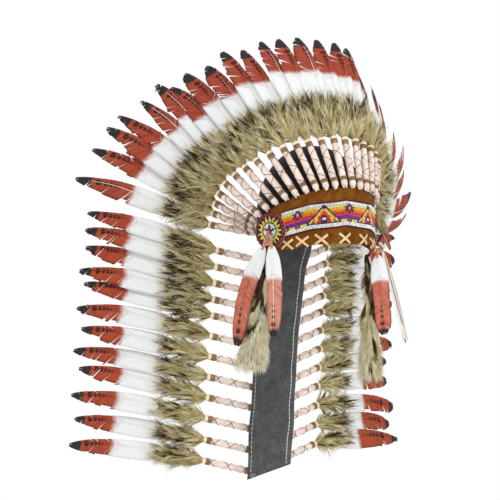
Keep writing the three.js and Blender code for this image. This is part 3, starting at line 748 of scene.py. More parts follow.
def fur_piece(p, seed, hairs):
    r = np.random.default_rng(seed + 500)
    bag = Bag()
    rings = []
    slim = p.name.startswith("trailer_plume_left")
    wide = 25.0 if slim else min(32.0, p.fur_wide * (1.16 if p.name.startswith("trailer") else 1.30))
    deep = min(27.0, wide)
    far = 1.14 if slim else 1.0
    for s, kw in FUR_PROFILE:
        c, d, w, n = (x[0] for x in p.at(SLEEVE + s * far))
        rings.append(section_ring(c, w, n, wide * kw * 0.74, deep * kw * 0.70, 10))
    loft(bag, rings)
    bag.uv[-1][:] = (0.1, 0.34)
    k = hairs
    out_s = -2.0 + 68 * r.random(k) ** 0.95
    s = SLEEVE + out_s * far
    t = 2 * np.pi * r.random(k)
    c, d, w, n = p.at(s)
    kw = np.interp(out_s, FUR_PROFILE[:, 0], FUR_PROFILE[:, 1])
    out = w * np.cos(t)[:, None] + n * np.sin(t)[:, None]
    root = c + w * (np.cos(t) * wide * kw * 0.35)[:, None] + n * (np.sin(t) * deep * kw * 0.33)[:, None]
    # hairs lie in locks that share a lean and a tint
    cells = (15, 8)
    lock = (np.floor(t / (2 * np.pi) * cells[0]) + cells[0] * np.floor((out_s + 2) / 9.5)).astype(int)
    count = cells[0] * cells[1]
    lean = r.normal(size=(count, 3)) * 0.16
    # more dark locks towards the outer end: painted shade in the clumps and between overlapping tufts
    row_shade_share = np.interp(np.repeat(np.arange(cells[1]), cells[0]), [0, 1, 3, 7], [0.05, 0.12, 0.36, 0.46])
    tone = lock_tones(r, count, row_shade_share)
    spread = (0.20 + 0.26 * r.random(k)) * (0.75 if slim else (0.86 if p.name.startswith("trailer") else 1.0)) * np.interp(out_s, [0, 8, 20, 40, 62], [1.9, 1.6, 1.15, 0.95, 0.8])
    way = unit(d + out * spread[:, None] + lean[lock] + r.normal(size=(k, 3)) * 0.035)
    bend = -out * (0.10 + 0.18 * r.random(k))[:, None] + lean[lock] * 1.1 + np.array([0, 0, -0.05])
    length = (17 + 16 * r.random(k)) * np.interp(out_s, [0, 20, 62], [0.95, 1.1, 0.95])
    width = 0.34 + 0.30 * r.random(k)
    tint = np.clip(tone[lock] + 0.07 * r.normal(size=k), 0, 1)
    stray = r.random(k) < 0.04
    tint[stray] = 0.9
    strands(bag, root, way, bend, length, width, tint)
    return bag.make(p.name + "_fur", [M_FUR])


# share along, half width of the narrow vane, half width of the broad vane
BLADE_SHAPE = np.array([
    (0.20, 0.50, 0.80), (0.30, 0.78, 1.25), (0.42, 0.84, 1.52), (0.55, 0.76, 1.62), (0.66, 0.62, 1.60),
    (0.74, 0.52, 1.48), (0.82, 0.44, 1.24), (0.88, 0.38, 0.96), (0.93, 0.32, 0.66), (0.97, 0.22, 0.36),
    (1.00, 0.04, 0.06),
])
CROWN_SHAPE = np.array([
    (0.20, 0.52, 0.84), (0.30, 0.80, 1.28), (0.42, 0.90, 1.56), (0.55, 0.84, 1.66), (0.66, 0.72, 1.70),
    (0.74, 0.64, 1.66), (0.82, 0.56, 1.48), (0.88, 0.50, 1.22), (0.93, 0.42, 0.90), (0.97, 0.30, 0.54),
    (0.99, 0.18, 0.28), (1.00, 0.05, 0.08),
])
BLUNT_SHAPE = np.array([
    (0.20, 0.50, 0.80), (0.30, 0.74, 1.18), (0.42, 0.82, 1.38), (0.55, 0.82, 1.44), (0.66, 0.80, 1.44),
    (0.74, 0.78, 1.42), (0.82, 0.74, 1.34), (0.88, 0.68, 1.20), (0.93, 0.56, 0.98), (0.97, 0.38, 0.66),
    (0.99, 0.22, 0.38), (1.00, 0.08, 0.12),
])
DROP_SHAPE = np.array([
    (0.06, 0.20, 0.22), (0.12, 0.52, 0.56), (0.20, 0.84, 0.92), (0.32, 0.96, 1.10), (0.50, 0.90, 1.14),
    (0.72, 0.82, 1.06), (0.85, 0.80, 1.00), (0.92, 0.66, 0.84), (0.96, 0.48, 0.62), (0.985, 0.30, 0.38), (1.00, 0.12, 0.14),
])


class Vane:
    """Both sides of a feather's vane, as groups of barbs with small splits.
    at(s) gives the frame at a distance; start is where share 0 lies; lead is
    the side with the narrow vane."""

    def __init__(self, at, length, start, q0, broad, shape, r, lead=1, hook=0.0, bow=None, centre=0.8):
        self.at, self.length, self.start, self.q0, self.broad = at, length, start, q0, broad
        self.shape = shape.copy()
        self.shape[:, 1] *= 0.88 + 0.24 * r.random()
        self.shape[:, 2] *= 0.90 + 0.16 * r.random()
        outer = self.shape[:, 0] > 0.8
        self.shape[outer, 2] *= 0.84 + 0.26 * r.random()
        self.lead, self.hook, self.r = lead, hook, r
        self.bow = r.normal() * 4.0 if bow is None else bow
        self.centre = centre

    def width(self, q, side):
        return np.interp(q, self.shape[:, 0], self.shape[:, 1 if side == self.lead else 2]) * self.broad / 2

    def quill(self, q):
        """Offsets of the quill from the plume's line: along w and along n."""
        q = np.asarray(q, float)
        off = self.lead * self.centre * (self.width(q, -self.lead) - self.width(q, self.lead)) / 2
        return off * smooth(q / 0.34) + self.bow * q ** 2.2, self.hook * (q ** 2.6 - 0.85 * q)

    def build(self, bag, red_at, lot, cut=0.3, camber=2.2, facing=-1, groups=9, ragged=0.09, thick=0.5):
        r, length = self.r, self.length
        for side in (-1, 1):
            slim = side == self.lead
            lean = 1.25 if slim else 0.85
            # the pale part is one smooth web, the coloured part opens into groups
            whole = min(red_at - 0.03, 0.9)
            cuts = np.sort(np.concatenate([[self.q0, whole, 0.985], whole + (0.97 - whole) * r.random(groups - 1)]))
            for a, b in zip(cuts[:-1], cuts[1:]):
                if b - a < 0.004:
                    continue
                red = a > whole - 0.01
                chance = cut * (0.5 if slim else 1.0) if red else 0.04
                split_a = (1.0 + 2.6 * r.random()) * 0.5 if r.random() < chance else 0.03
                split_b = (1.0 + 2.6 * r.random()) * 0.5 if r.random() < chance else 0.03
                lift = r.normal() * (0.40 if red else 0.0)
                reach = 1 + r.normal() * (ragged if red and not slim else 0.02)
                nu = 2 if b - a < 0.05 else (3 if red else 9)
                roots = np.linspace(a, b, nu + 1)
                U, X = np.meshgrid(roots, np.linspace(0, 1, 4 if nu < 4 else 5), indexing="ij")
                # barbs sweep towards the tip, and end on the outline
                sweep = lean * np.interp(U, [0, 0.85, 1.0], [0.8, 1.0, 0.6])
                x = self.width(U, side)
                for _ in range(8):
                    x = 0.5 * x + 0.5 * self.width(np.minimum(1, U + sweep * x / length), side)
                x = X * x * reach
                s = U * length + sweep * x
                # wedge-shaped splits between groups
                s = s + np.where(U == a, split_a, 0) * X ** 1.4 - np.where(U == b, split_b, 0) * X ** 1.4
                s = np.minimum(s, length * 0.999)
                q = s / length
                size = self.width(U, side) / (self.broad / 2)
                hgt = -facing * camber * (X ** 1.7) * size + lift * X
                c, d, w, n = self.at(self.start + s.ravel())
                ow, on = self.quill(q.ravel())
                mid = c + w * (side * (x.ravel() + 0.2) + ow)[:, None] + n * (hgt.ravel() + on)[:, None]
                th = (thick * (1 - 0.65 * X.ravel()) / 2)[:, None]
                rows, cols = U.shape
                idx = np.arange(rows * cols).reshape(rows, cols)
                off = rows * cols
                A, B, C, D = idx[:-1, :-1], idx[1:, :-1], idx[1:, 1:], idx[:-1, 1:]
                quads = [np.stack([A, B, C, D], -1).reshape(-1, 4),
                         np.stack([A, D, C, B], -1).reshape(-1, 4) + off]
                border = np.concatenate([idx[:, 0], idx[-1, 1:], idx[-2::-1, -1], idx[0, -2:0:-1]])
                nxt = np.roll(border, -1)
                quads.append(np.stack([border, border + off, nxt + off, nxt], -1))
                verts = np.concatenate([mid + n * th, mid - n * th])
                quads, _ = outward(verts, np.concatenate(quads), np.zeros((0, 3)))
                # the colour follows the barb's root more than its end
                uu = 0.35 * U.ravel() + 0.65 * q.ravel()
                vv = 0.5 + (-side * self.lead) * x.ravel() / 40.0
                uv = np.stack([uu, vv], -1)
                rim = np.stack([X.ravel(), np.zeros(X.size)], -1)
                bag.add(verts, quads, None, np.concatenate([uv, uv]), (red_at, lot), 0, np.concatenate([rim, rim]))


def blade_piece(p, seed):
    r = np.random.default_rng(seed + 900)
    bag = Bag()
    lot = r.random() * 0.5 + (0.5 if p.name.startswith("crown") else 0.0)
    red_at = p.red_at + 0.010 * r.normal()
    shape = CROWN_SHAPE if p.name.startswith("crown") and abs(p.angle) < 90 else BLADE_SHAPE
    if p.name.startswith("trailer_plume_left"):
        # these have only a short black end, which lot below 0 stands for
        lot = -5.0 - 1.5 * lot
        if p.name[-2:] not in ("01", "12"):
            shape = BLUNT_SHAPE
    v = Vane(p.at, p.length, SLEEVE, 0.22, p.broad, shape, r, lead=1, hook=p.hook + 2.5 * r.normal())
    cut = 0.22 if p.name.startswith("trailer") else (0.34 if p.angle < 60 else 0.10)
    v.build(bag, red_at, lot, cut=cut, facing=p.facing)
    # quill
    s = np.linspace(2, p.length * 0.965, 26)
    c, d, w, n = p.at(SLEEVE + s)
    q = s / p.length
    ow, on = v.quill(q)
    rad = np.interp(q, [0, 0.3, 0.8, 1.0], [1.35, 1.1, 0.55, 0.22])
    tube(bag, c + w * ow[:, None] + n * on[:, None], rad, sides=6, mat=1, uv2=(red_at, lot))
    bag.uv[-1][:, 0] = np.repeat(q, 6)
    # down at the foot of the vane
    k = 60
    q = 0.23 + 0.16 * r.random(k)
    side = np.where(r.random(k) < 0.5, -1.0, 1.0)
    half = np.where(side == v.lead, v.width(q, v.lead), v.width(q, -v.lead))
    c, d, w, n = p.at(SLEEVE + q * p.length)
    ow, on = v.quill(q)
    root = c + w * (ow + side * half * (0.4 + 0.55 * r.random(k)))[:, None] + n * (on + r.normal(size=k) * 0.8)[:, None]
    way = unit(d + w * (side * (0.30 + 0.5 * r.random(k)))[:, None] + n * (r.normal(size=k) * 0.25)[:, None])
    strands(bag, root, way, r.normal(size=(k, 3)) * 0.12, 7 + 7 * r.random(k), 0.26 + 0.14 * r.random(k), np.full(k, 0.5))
    bag.uv[-1][:, 0] = 0.40
    bag.uv2[-1][:, 0], bag.uv2[-1][:, 1] = 0.62, lot
    return bag.make(p.name + "_feather", [M_VANE, M_QUILL])


HAIRS = 780
for i, p in enumerate(plumes):
    p.hook, p.angle = 0.0, 999
    if p.name.startswith("crown"):
        p.angle = RING_ANGLES[i]
        p.hook = float(np.interp(RING_ANGLES[i], [-138, -60, 26, 40, 79, 133], [6, 4, 6, 22, 34, 34]))
    parts = [sleeve_piece(p, i + 1), fur_piece(p, i + 1, HAIRS), blade_piece(p, i + 1)]
    for o in parts:
        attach(o, "root")
        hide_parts(p.name)


# =====================================================================
# cap
# =====================================================================
def cap_piece():
    around, up = 72, 14
    bag = Bag()

    def layer(inset):
        rows = []
        for k in range(up + 2):
            row = []
            for j in range(around):
                angle = 360 * j / around
                a180 = 360 - angle if angle > 180 else angle
                if k == 0:
                    row.append(ring_point(CAP_A - inset, CAP_B - inset, angle, edge(3, a180)))
                else:
                    s = math.radians(88.5 * (k - 1) / up)
                    q = ring_point((CAP_A - inset) * math.cos(s), (CAP_B - inset) * math.cos(s), angle,
                                   DOME_FOOT + (DOME_RISE - inset) * math.sin(s))
                    q[1] += DOME_BACK * math.sin(s)
                    row.append(q)
            rows.append(row)
        return rows

    outer, inner = layer(0), layer(CAP_WALL)
    loft(bag, outer[::-1] + inner)
    return bag.make("cap_felt_shell", [M_CAP])


cap = cap_piece()
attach(cap, "root")
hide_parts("cap")


# =====================================================================
# brow band and what is sewn on it
# =====================================================================
def strip_rings(a, b, wall, lo, hi, steps, top, foot, round_edge=0.5, wave=None):
    rings = []
    for i in range(steps + 1):
        g = lo + (hi - lo) * i / steps
        t, f = top(g), foot(g)
        if wave:
            t, f = t + wave(g), f + wave(g + 40) * 0.7
        e = round_edge
        prof = [(0, f + e), (e * 0.5, f), (wall - e * 0.5, f), (wall, f + e), (wall, (f + t) / 2),
                (wall, t - e), (wall - e * 0.5, t), (e * 0.5, t), (0, t - e), (0, (f + t) / 2)]
        rings.append([ring_point(a + x, b + x, g, z) for x, z in prof])
    return rings


BAND_A, BAND_B = CAP_A + GAP, CAP_B + GAP
bag = Bag()
loft(bag, strip_rings(BAND_A, BAND_B, BAND_WALL, -BAND_END, BAND_END, 120,
                      lambda g: edge(1, g), lambda g: edge(2, g), 0.6,
                      wave=lambda g: 0.5 * math.sin(g * 0.21) + 0.3 * math.sin(g * 0.53 + 1)))
band = bag.make("brow_band_suede", [M_SUEDE])
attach(band, "root")
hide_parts("brow_band")

OUT_A, OUT_B = BAND_A + BAND_WALL, BAND_B + BAND_WALL


def beads_top(g):
    return edge(1, g) - STRIP_DOWN * (0.62 + 0.38 * math.cos(math.radians(g)))


# maroon backing that shows as a line above and below the beads
bag = Bag()
loft(bag, strip_rings(OUT_A, OUT_B, 1.0, -BEADS_END - 1.5, BEADS_END + 1.5, 90,
                      lambda g: beads_top(g) + 2.3, lambda g: beads_top(g) - STRIP_TALL - 2.3, 0.3))
# purple oversewing along both edges
arc = 0.0
g = -BEADS_END
while g < BEADS_END:
    for z0, dz in ((beads_top(g) + 1.5, 1.7), (beads_top(g) - STRIP_TALL - 1.5, -1.7)):
        pts = [ring_point(OUT_A + 1.3, OUT_B + 1.3, g + 0.35 * q, z0 + dz * (q - 0.5)) for q in (0, 0.5, 1)]
        tube(bag, pts, 0.55, sides=5, mat=1)
    g += 1.9
backing = bag.make("bead_strip_backing", [M_MAROON, M_PURPLE])
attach(backing, "root")

# The strip's repeat, charted from a triangle's middle to a star's
# middle, 24 columns, 19 rows from the top edge down.
CHART = [
    "w" * 24,
    "n" + "w" * 23,
    "nnw" + "m" * 19 + "nn",
    "nnnw" + "y" * 17 + "nnn",
    "yynn" + "g" * 14 + "nnnnkw",
    "oyynn" + "g" * 15 + "nnkw",
    "ooyyn" + "o" * 14 + "nnnkk",
    "rooyynn" + "o" * 12 + "nnrrn",
    "rroyyynn" + "r" * 14 + "nn",
    "nrrooyynn" + "r" * 15,
    "nnrrooyynn" + "k" * 14,
    "wnrrryyyynn" + "p" * 13,
    "wnrrryyroyynn" + "p" * 11,
    "nnrrrryyrryynn" + "p" * 8 + "nk",
    "nnrrrryyrrryynn" + "y" * 6 + "nkk",
    "n" * 15 + "y" * 6 + "nnk",
    "w" * 23 + "n",
    "w" * 24,
    "w" * 24,
]
ROWS, COLS = len(CHART), len(CHART[0])


def bead_mesh(bag, c, axis, side, out, r, half, mat):
    """A small barrel bead along axis."""
    sides = 6
    t = 2 * np.pi * (np.arange(sides) + 0.5) / sides
    ringd = side[None] * np.cos(t)[:, None] + out[None] * np.sin(t)[:, None]
    rings = [c + axis * (k * half) + ringd * (r * f) for k, f in ((-1, 0.66), (-0.5, 1.0), (0.5, 1.0), (1, 0.66))]
    loft(bag, rings, mat=mat)


palette = list(BEADS)
bag = Bag()
pitch_z = STRIP_TALL / ROWS
pitch_x = 1.78
# arc length along the strip, to place the columns evenly
gs = np.linspace(-BEADS_END, BEADS_END, 1201)
path = np.array([ring_point(OUT_A + 2.0, OUT_B + 2.0, g, 0) for g in gs])
arc = np.concatenate([[0], np.cumsum(np.linalg.norm(np.diff(path, axis=0), axis=1))])
count = int(arc[-1] / pitch_x)
STAR_AT = np.interp(3.2, gs, arc)  # a star stands almost in the middle of the brow
for i in range(count):
    here = arc[-1] * (i + 0.5) / count
    g = float(np.interp(here, arc, gs))
    t = math.radians(g)
    out = unit(np.array([math.sin(t) / OUT_A, -math.cos(t) / OUT_B, 0]))
    side = np.array([-out[1], out[0], 0])
    k = int(round((here - STAR_AT) / (arc[-1] / count)))
    k = abs(((k + COLS) % (2 * COLS)) - COLS)
    col = max(0, COLS - 1 - k)
    for row in range(ROWS):
        z = beads_top(g) - pitch_z * (row + 0.5)
        c = ring_point(OUT_A + 2.0, OUT_B + 2.0, g, z)
        bead_mesh(bag, c, np.array([0, 0, 1.0]), side, out, pitch_x * 0.51, pitch_z * 0.49, palette.index(CHART[row][col]))
strip = bag.make("bead_strip_beads", [BEADS[k] for k in palette])
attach(strip, "root")
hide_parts("bead_strip")

# laced crosses along the band's lower edge
bag = Bag()
for g0 in (-58.3, -43.3, -25, -1.4, 22.6, 42.1, 60):
    wide, tall = 10.2, 15.5
    top = edge(2, g0) + 16.0 - (3.0 if g0 > 30 else 0)
    for s in (-1, 1):
        m = 9
        q = np.linspace(-1, 1, m)
        dg = np.degrees(wide * s * q / 97.0)
        pts, outs = [], []
        for a, b in zip(dg, q):
            g = g0 + a
            lift = 1.1 + 0.55 * (1 - b * b) + (0.5 if s > 0 else 0)
            if abs(b) > 0.92:
                lift -= 1.0
            pts.append(ring_point(OUT_A + lift, OUT_B + lift, g, top - tall / 2 + b * tall / 2))
            t = math.radians(g)
            outs.append(unit(np.array([math.sin(t) / OUT_A, -math.cos(t) / OUT_B, 0])))
        tube(bag, pts, 2.0, sides=8, flat=0.42, up=np.array(outs))
crosses = bag.make("brow_band_crosses", [M_CROSS])
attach(crosses, "root")


# =====================================================================
# felt trailer
# =====================================================================
FELT_TOP, FELT_LOW = 36.0, -353.0


def felt_point(u, z_row, off, ripple=True):
    """u from -1 to 1 across; z_row is the height along the middle line."""
    zs = [r[0] for r in FELT][::-1]
    back = float(np.interp(z_row, zs, [r[1] for r in FELT][::-1]))
    half = float(np.interp(z_row, zs, [r[2] for r in FELT][::-1]))
    wrap = float(np.interp(z_row, zs, [r[3] for r in FELT][::-1]))
    low = smooth((-z_row - 270) / 83.0)
    z = z_row + FELT_SLANT * u * low
    if ripple:
        fade = float(smooth((10 - z_row) / 40.0))
        off = off + fade * (0.9 * math.sin(z_row * 0.035 + 1.2 * u) + 0.5 * math.sin(z_row * 0.09 - 2.0 * u))
        half += 0.5 * math.sin(z_row * 0.06) * abs(u) * fade
    return np.array([u * half, back + off - wrap * u * u, z])


bag = Bag()
rows, across = 78, 16
rings = []
for i in range(rows + 1):
    z = FELT_TOP - (FELT_TOP - FELT_LOW) * i / rows
    ring = [felt_point(-1 + 2 * j / across, z, FELT_WALL / 2 * (0.45 if j in (0, across) else 1)) for j in range(across + 1)]
    ring += [felt_point(-1 + 2 * j / across, z, -FELT_WALL / 2 * (0.45 if j in (0, across) else 1)) for j in range(across, -1, -1)]
    rings.append(ring)
loft(bag, rings)
trailer = bag.make("felt_trailer_sheet", [M_FELT])
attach(trailer, "root")
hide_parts("felt_trailer")
# the cut: a strip as wide as the hung one, measured along its middle surface
grid = np.array([[felt_point(u, z, 0.0, False) for u in np.linspace(-1, 1, 17)] for z in np.linspace(FELT_TOP, FELT_LOW, 60)])

# running stitch near both edges, on both faces, with a knot at each end
bag = Bag()
for u_of, thick, long, gap in (
        (lambda z: -0.88, 0.55, 5.2, 1.4),
        (lambda z: float(np.interp(z, [-353, -20, 36], [0.76, 0.78, 0.80])) + 0.012 * math.sin(z * 0.11), 0.95, 5.8, 0.9)):
    z = 12.0
    while z > -343:
        zz = [z, z - 0.28 * long, z - 0.72 * long, z - long]
        for face in (-1, 1):
            pts = [felt_point(u_of(q), q, face * (FELT_WALL / 2 + h)) for q, h in zip(zz, (-0.5, 0.32, 0.32, -0.5))]
            tube(bag, pts, [0.8 * thick, thick, thick, 0.8 * thick], sides=5)
        z -= long + gap
    for zk in (13.5, -345.5):
        c = felt_point(u_of(zk), zk, -(FELT_WALL / 2 + 0.7))
        for k in range(3):
            a = c + rng.normal(size=3) * 0.9
            tube(bag, [a, a + rng.normal(size=3) * 1.2, a + rng.normal(size=3) * 2.2 + np.array([0, -0.6, -2.0])], 0.4, sides=5)
stitch = bag.make("felt_trailer_stitching", [M_THREAD])
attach(stitch, "root")


# =====================================================================
# rosettes
# =====================================================================
def rosette_piece(word, sign, height, off, tilt):
    angle, turn, thick = 74.0, 10.0, 5.0
    t = math.radians(sign * angle)
    f = math.radians(sign * (angle - turn))
    li = math.radians(tilt)
    n = np.array([math.sin(f) * math.cos(li), -math.cos(f) * math.cos(li), math.sin(li)])
    off = BAND_WALL + STRIP_THICK + 3 * GAP + off
    c = np.array([(CAP_A + off) * math.sin(t), -(CAP_B + off) * math.cos(t), height])
    x = unit(np.cross(np.array([0, 0, 1.0]), n))
    y = np.cross(n, x)
    bag = Bag()

    def disc(prof, mat, sides=48):
        a = 2 * np.pi * np.arange(sides) / sides
        rim = x[None] * np.cos(a)[:, None] + y[None] * np.sin(a)[:, None]
        loft(bag, [c + n * h + rim * r for r, h in prof], mat=mat)

    k_mar, k_tan = len(palette), len(palette) + 1
    disc([(24, 0.0), (28.6, 0.1), (29.0, 0.7), (29.0, 1.6), (28.4, 1.9), (20, 2.1)], k_tan)
    disc([(20, 1.9), (28.7, 1.9), (29.1, 2.6), (28.6, 3.2), (26.6, 3.4), (12, 3.9)], k_mar)
    # beads in rings
    pitch = 1.86
    ring = 0
    radius = 0.0
    while radius <= 26.6:
        m = 1 if ring == 0 else max(5, int(round(2 * math.pi * radius / pitch)))
        for k in range(m):
            a = 2 * math.pi * (k + 0.5 * (ring % 2)) / m
            h = 4.3 - 0.0011 * radius * radius
            d = x * math.cos(a) + y * math.sin(a)
            tng = -x * math.sin(a) + y * math.cos(a)
            # pattern
            deg = (math.degrees(a) - 90) % 360
            key = "w"
            if radius < 12.2:
                petal = ((deg + 36) % 72) - 36
                reach = 11.6 - abs(petal) * 0.25
                if radius < 1.0:
                    key = "k"
                elif radius < reach and abs(petal) * radius < 150:
                    key = "k" if 60 < deg < 216 else "n"
            elif radius < 14.3:
                key = "d"
            elif radius < 23.3:
                step = 360 / 17
                tooth = abs(((deg + step / 2) % step) - step / 2) / (step / 2)
                key = "y" if tooth < 1.02 - (radius - 14.0) / 9.4 * 0.95 else "d"
            elif radius < 25.2:
                key = "d" if k % 3 else "c"
            else:
                key = "k" if k % 3 == 0 else "c"
            bead_mesh(bag, c + n * h + d * radius, tng, d, n, pitch * 0.5, pitch * 0.46, palette.index(key))
        ring += 1
        radius = ring * 1.86
    ob = bag.make("rosette_%s_beads" % word, [BEADS[k] for k in palette] + [M_MAROON, M_TAN])
    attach(ob, "root")
    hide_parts("rosette_" + word)
    return c, n, x, y


ros_right = rosette_piece("right", -1, 38, 3, 0)
ros_left = rosette_piece("left", 1, 33.6, 13, 25)


# =====================================================================
# hanging feathers and fur
# =====================================================================
STRANDS = [  # side, kind, top, tip, width, facing, bow
    ("right", "feather", (-106.1, -28.3, 17), (-139, 4, -146), 24, -45, -9.0),
    ("right", "feather", (-100.6, -40.8, 19), (-98, -43, -130), 24, -34, 3.0),
    ("right", "fur", (-93, -14, -1), (-121, -5, -182), 44, -48, 3.0),
    ("left", "feather", (86, -50.5, 4), (99.5, -50, -129), 25, -12, 1.0),
    ("left", "feather", (101, -40, 10), (148.5, -36, -142), 20, 40, 3.0),
    ("left", "fur", (83, -22, -3), (92, -16, -200), 38, -26, 3.0),
]


def strand_frame(top, tip, facing, bow):
    top, tip = np.array(top, float), np.array(tip, float)
    way = unit(tip - top)
    f = math.radians(facing)
    w = np.array([math.cos(f), math.sin(f), 0.0])
    w = unit(w - way * np.dot(w, way))
    n = np.cross(way, w)
    length = float(np.linalg.norm(tip - top))

    def at(s):
        s = np.atleast_1d(np.asarray(s, float))
        c = top[None] + way[None] * s[:, None] + w[None] * (bow * np.sin(np.pi * np.clip(s / length, 0, 1)))[:, None]
        k = len(s)
        return c, np.tile(way, (k, 1)), np.tile(w, (k, 1)), np.tile(n, (k, 1))

    return at, length, n


def drop_feathers(side):
    bag = Bag()
    rows = [r for r in STRANDS if r[0] == side and r[1] == "feather"]
    for k, row in enumerate(rows):
        at, length, n = strand_frame(row[2], row[3], row[5], row[6])
        r = np.random.default_rng(4000 + k + (7 if side == "left" else 0))
        pale = side == "left" and k == 1  # this one is seen edge on, and stays pale
        # the vane starts near the top; share 0 lies above it
        over = 0.06 * length
        full = length + over
        red_at = 0.93 if pale else (0.36 if side == "left" else (0.35, 0.40)[k])

        def at2(s, at=at, over=over):
            return at(s - over)

        wide = row[4] * (1.12 if side == "left" else 1.05)
        v = Vane(at2, full, 0.0, 0.07, wide, DROP_SHAPE, r, lead=-1, bow=0.0, centre=0.6)
        v.build(bag, red_at, 1.3 if side == "right" and k == 1 else 0.3, cut=0.14, camber=1.6, facing=1, groups=9, ragged=0.04)
        m = 24
        s = np.linspace(-6, length * 0.95, m)
        c, d, w, nn = at(s)
        q = np.clip((s + over) / full, 0, 1)
        ow, on = v.quill(q)
        tube(bag, c + w * ow[:, None] + nn * on[:, None], np.interp(q, [0, 0.3, 1], [2.6, 2.3, 1.1] if pale else [1.5, 1.0, 0.3]), sides=9, mat=1, uv2=(red_at, 0.90 if side == "right" and k == 1 else 0.825))
        bag.uv[-1][:, 0] = np.repeat(q, 9) * (0.85 if pale else 1)
        if pale:
            # the two dark lines (mat 6) are painted shadow lines on the edge-on feather; the pinkish ones (mat 5) give
            # its colour
            for off, low, thick, mat in ((-6.0, 0.80, 0.45, 6), (-1.5, 0.93, 0.8, 5), (3.0, 0.95, 0.8, 5), (6.0, 0.98, 0.5, 6)):
                s = np.linspace(10, length * low, 14)
                c, d, w, nn = at(s)
                tube(bag, c + w * (off * np.sin(np.pi * np.linspace(0.12, 0.9, 14)))[:, None] + nn * 2.6, [0.3] + [thick] * 12 + [0.3], sides=6, mat=mat)
        # leather wound round the quill's top
        s = np.linspace(-7, 9, 40)
        c, d, w, nn = at(s)
        body = 2.4 - 0.7 * np.linspace(0, 1, 40) ** 2
        tube(bag, c, body, sides=10, mat=2)
        ang = 2 * np.pi * 5 * np.linspace(0, 1, 40)
        tube(bag, c + w * (np.cos(ang) * (body + 0.1))[:, None] + nn * (np.sin(ang) * (body + 0.1))[:, None], 0.75, sides=5, mat=3)
    a, b = np.array(rows[0][2], float), np.array(rows[1][2], float)
    mid = (a + b) / 2
    tube(bag, [a + (0, 0, 1), mid + (0, -1.5, 3), b + (0, 0, 1)], [2.0, 2.6, 2.0], sides=9, mat=2)
    tube(bag, [a + (0, 0, -2), mid + (0, -1.8, -1), b + (0, 0, -2)], [1.2, 1.6, 1.2], sides=8, mat=3)
    return bag, a, b, mid


def seen_at(px, py, depth):
    """A place (mm) from where it is seen, depth away from the middle plane."""
    across = (px - 314.5) * 1.6
    return np.array([across * 0.8829 + depth * 0.4695, -across * 0.4695 + depth * 0.8829, (255 - py) * 1.6])


for side, ros in (("right", ros_right), ("left", ros_left)):
    bag, a, b, mid = drop_feathers(side)
    c, n, x, y = ros
    # the thong from the rosette down to the wrap
    start = c + n * (5.6 if side == "right" else -2.0)
    if side == "left":
        start = c - n * 4 - y * 16
    tube(bag, [start, (start + mid) / 2 + n * 2.2, mid + (0, 0, 3)], [1.5, 1.5, 1.9], sides=8, mat=2)
    if side == "left":
        # a pale quill end beside the wrap
        tube(bag, [seen_at(374.6, 238.6, 2), seen_at(378, 241.6, 0), seen_at(381.5, 244.8, 0), seen_at(384.5, 247.6, 2)],
             [2.5, 2.8, 2.8, 2.4], sides=12, mat=4)
        # the knot of the thong in front of it
        for p0, p1, p2, rad in (((370.5, 239.5), (373.5, 243), (375.6, 249), 2.6), ((376.5, 240.5), (374, 245), (371.4, 251), 2.3),
                                ((371, 251), (370.6, 255), (371.4, 258.5), 1.3)):
            tube(bag, [seen_at(*p0, -6), seen_at(*p1, -9), seen_at(*p2, -6)], [0.7 * rad, rad, 0.6 * rad], sides=9, mat=2)
    else:
        tube(bag, [mid + (2, -3, 2), mid + (4, -4, -8), mid + (3, -4, -15)], [1.6, 1.3, 0.8], sides=7, mat=3)
    ob = bag.make("drop_feathers_%s_pair" % side, [M_CORAL, M_QUILL, M_PINK, M_TAN, M_THREAD, M_SLEEVE, M_DARK])
    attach(ob, "root")
    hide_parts("drop_feathers_" + side)


# share along, width and depth in mm of the whole strip, hair included
FUR_STRIP = {
    "right": [(0, 11, 12), (0.12, 22, 18), (0.35, 36, 26), (0.60, 52, 32), (0.85, 64, 34), (0.97, 58, 28), (1.0, 50, 22)],
    "left": [(0, 8, 10), (0.12, 12, 14), (0.34, 20, 20), (0.52, 29, 27), (0.74, 41, 32), (0.97, 38, 28), (1.0, 34, 22)],
}


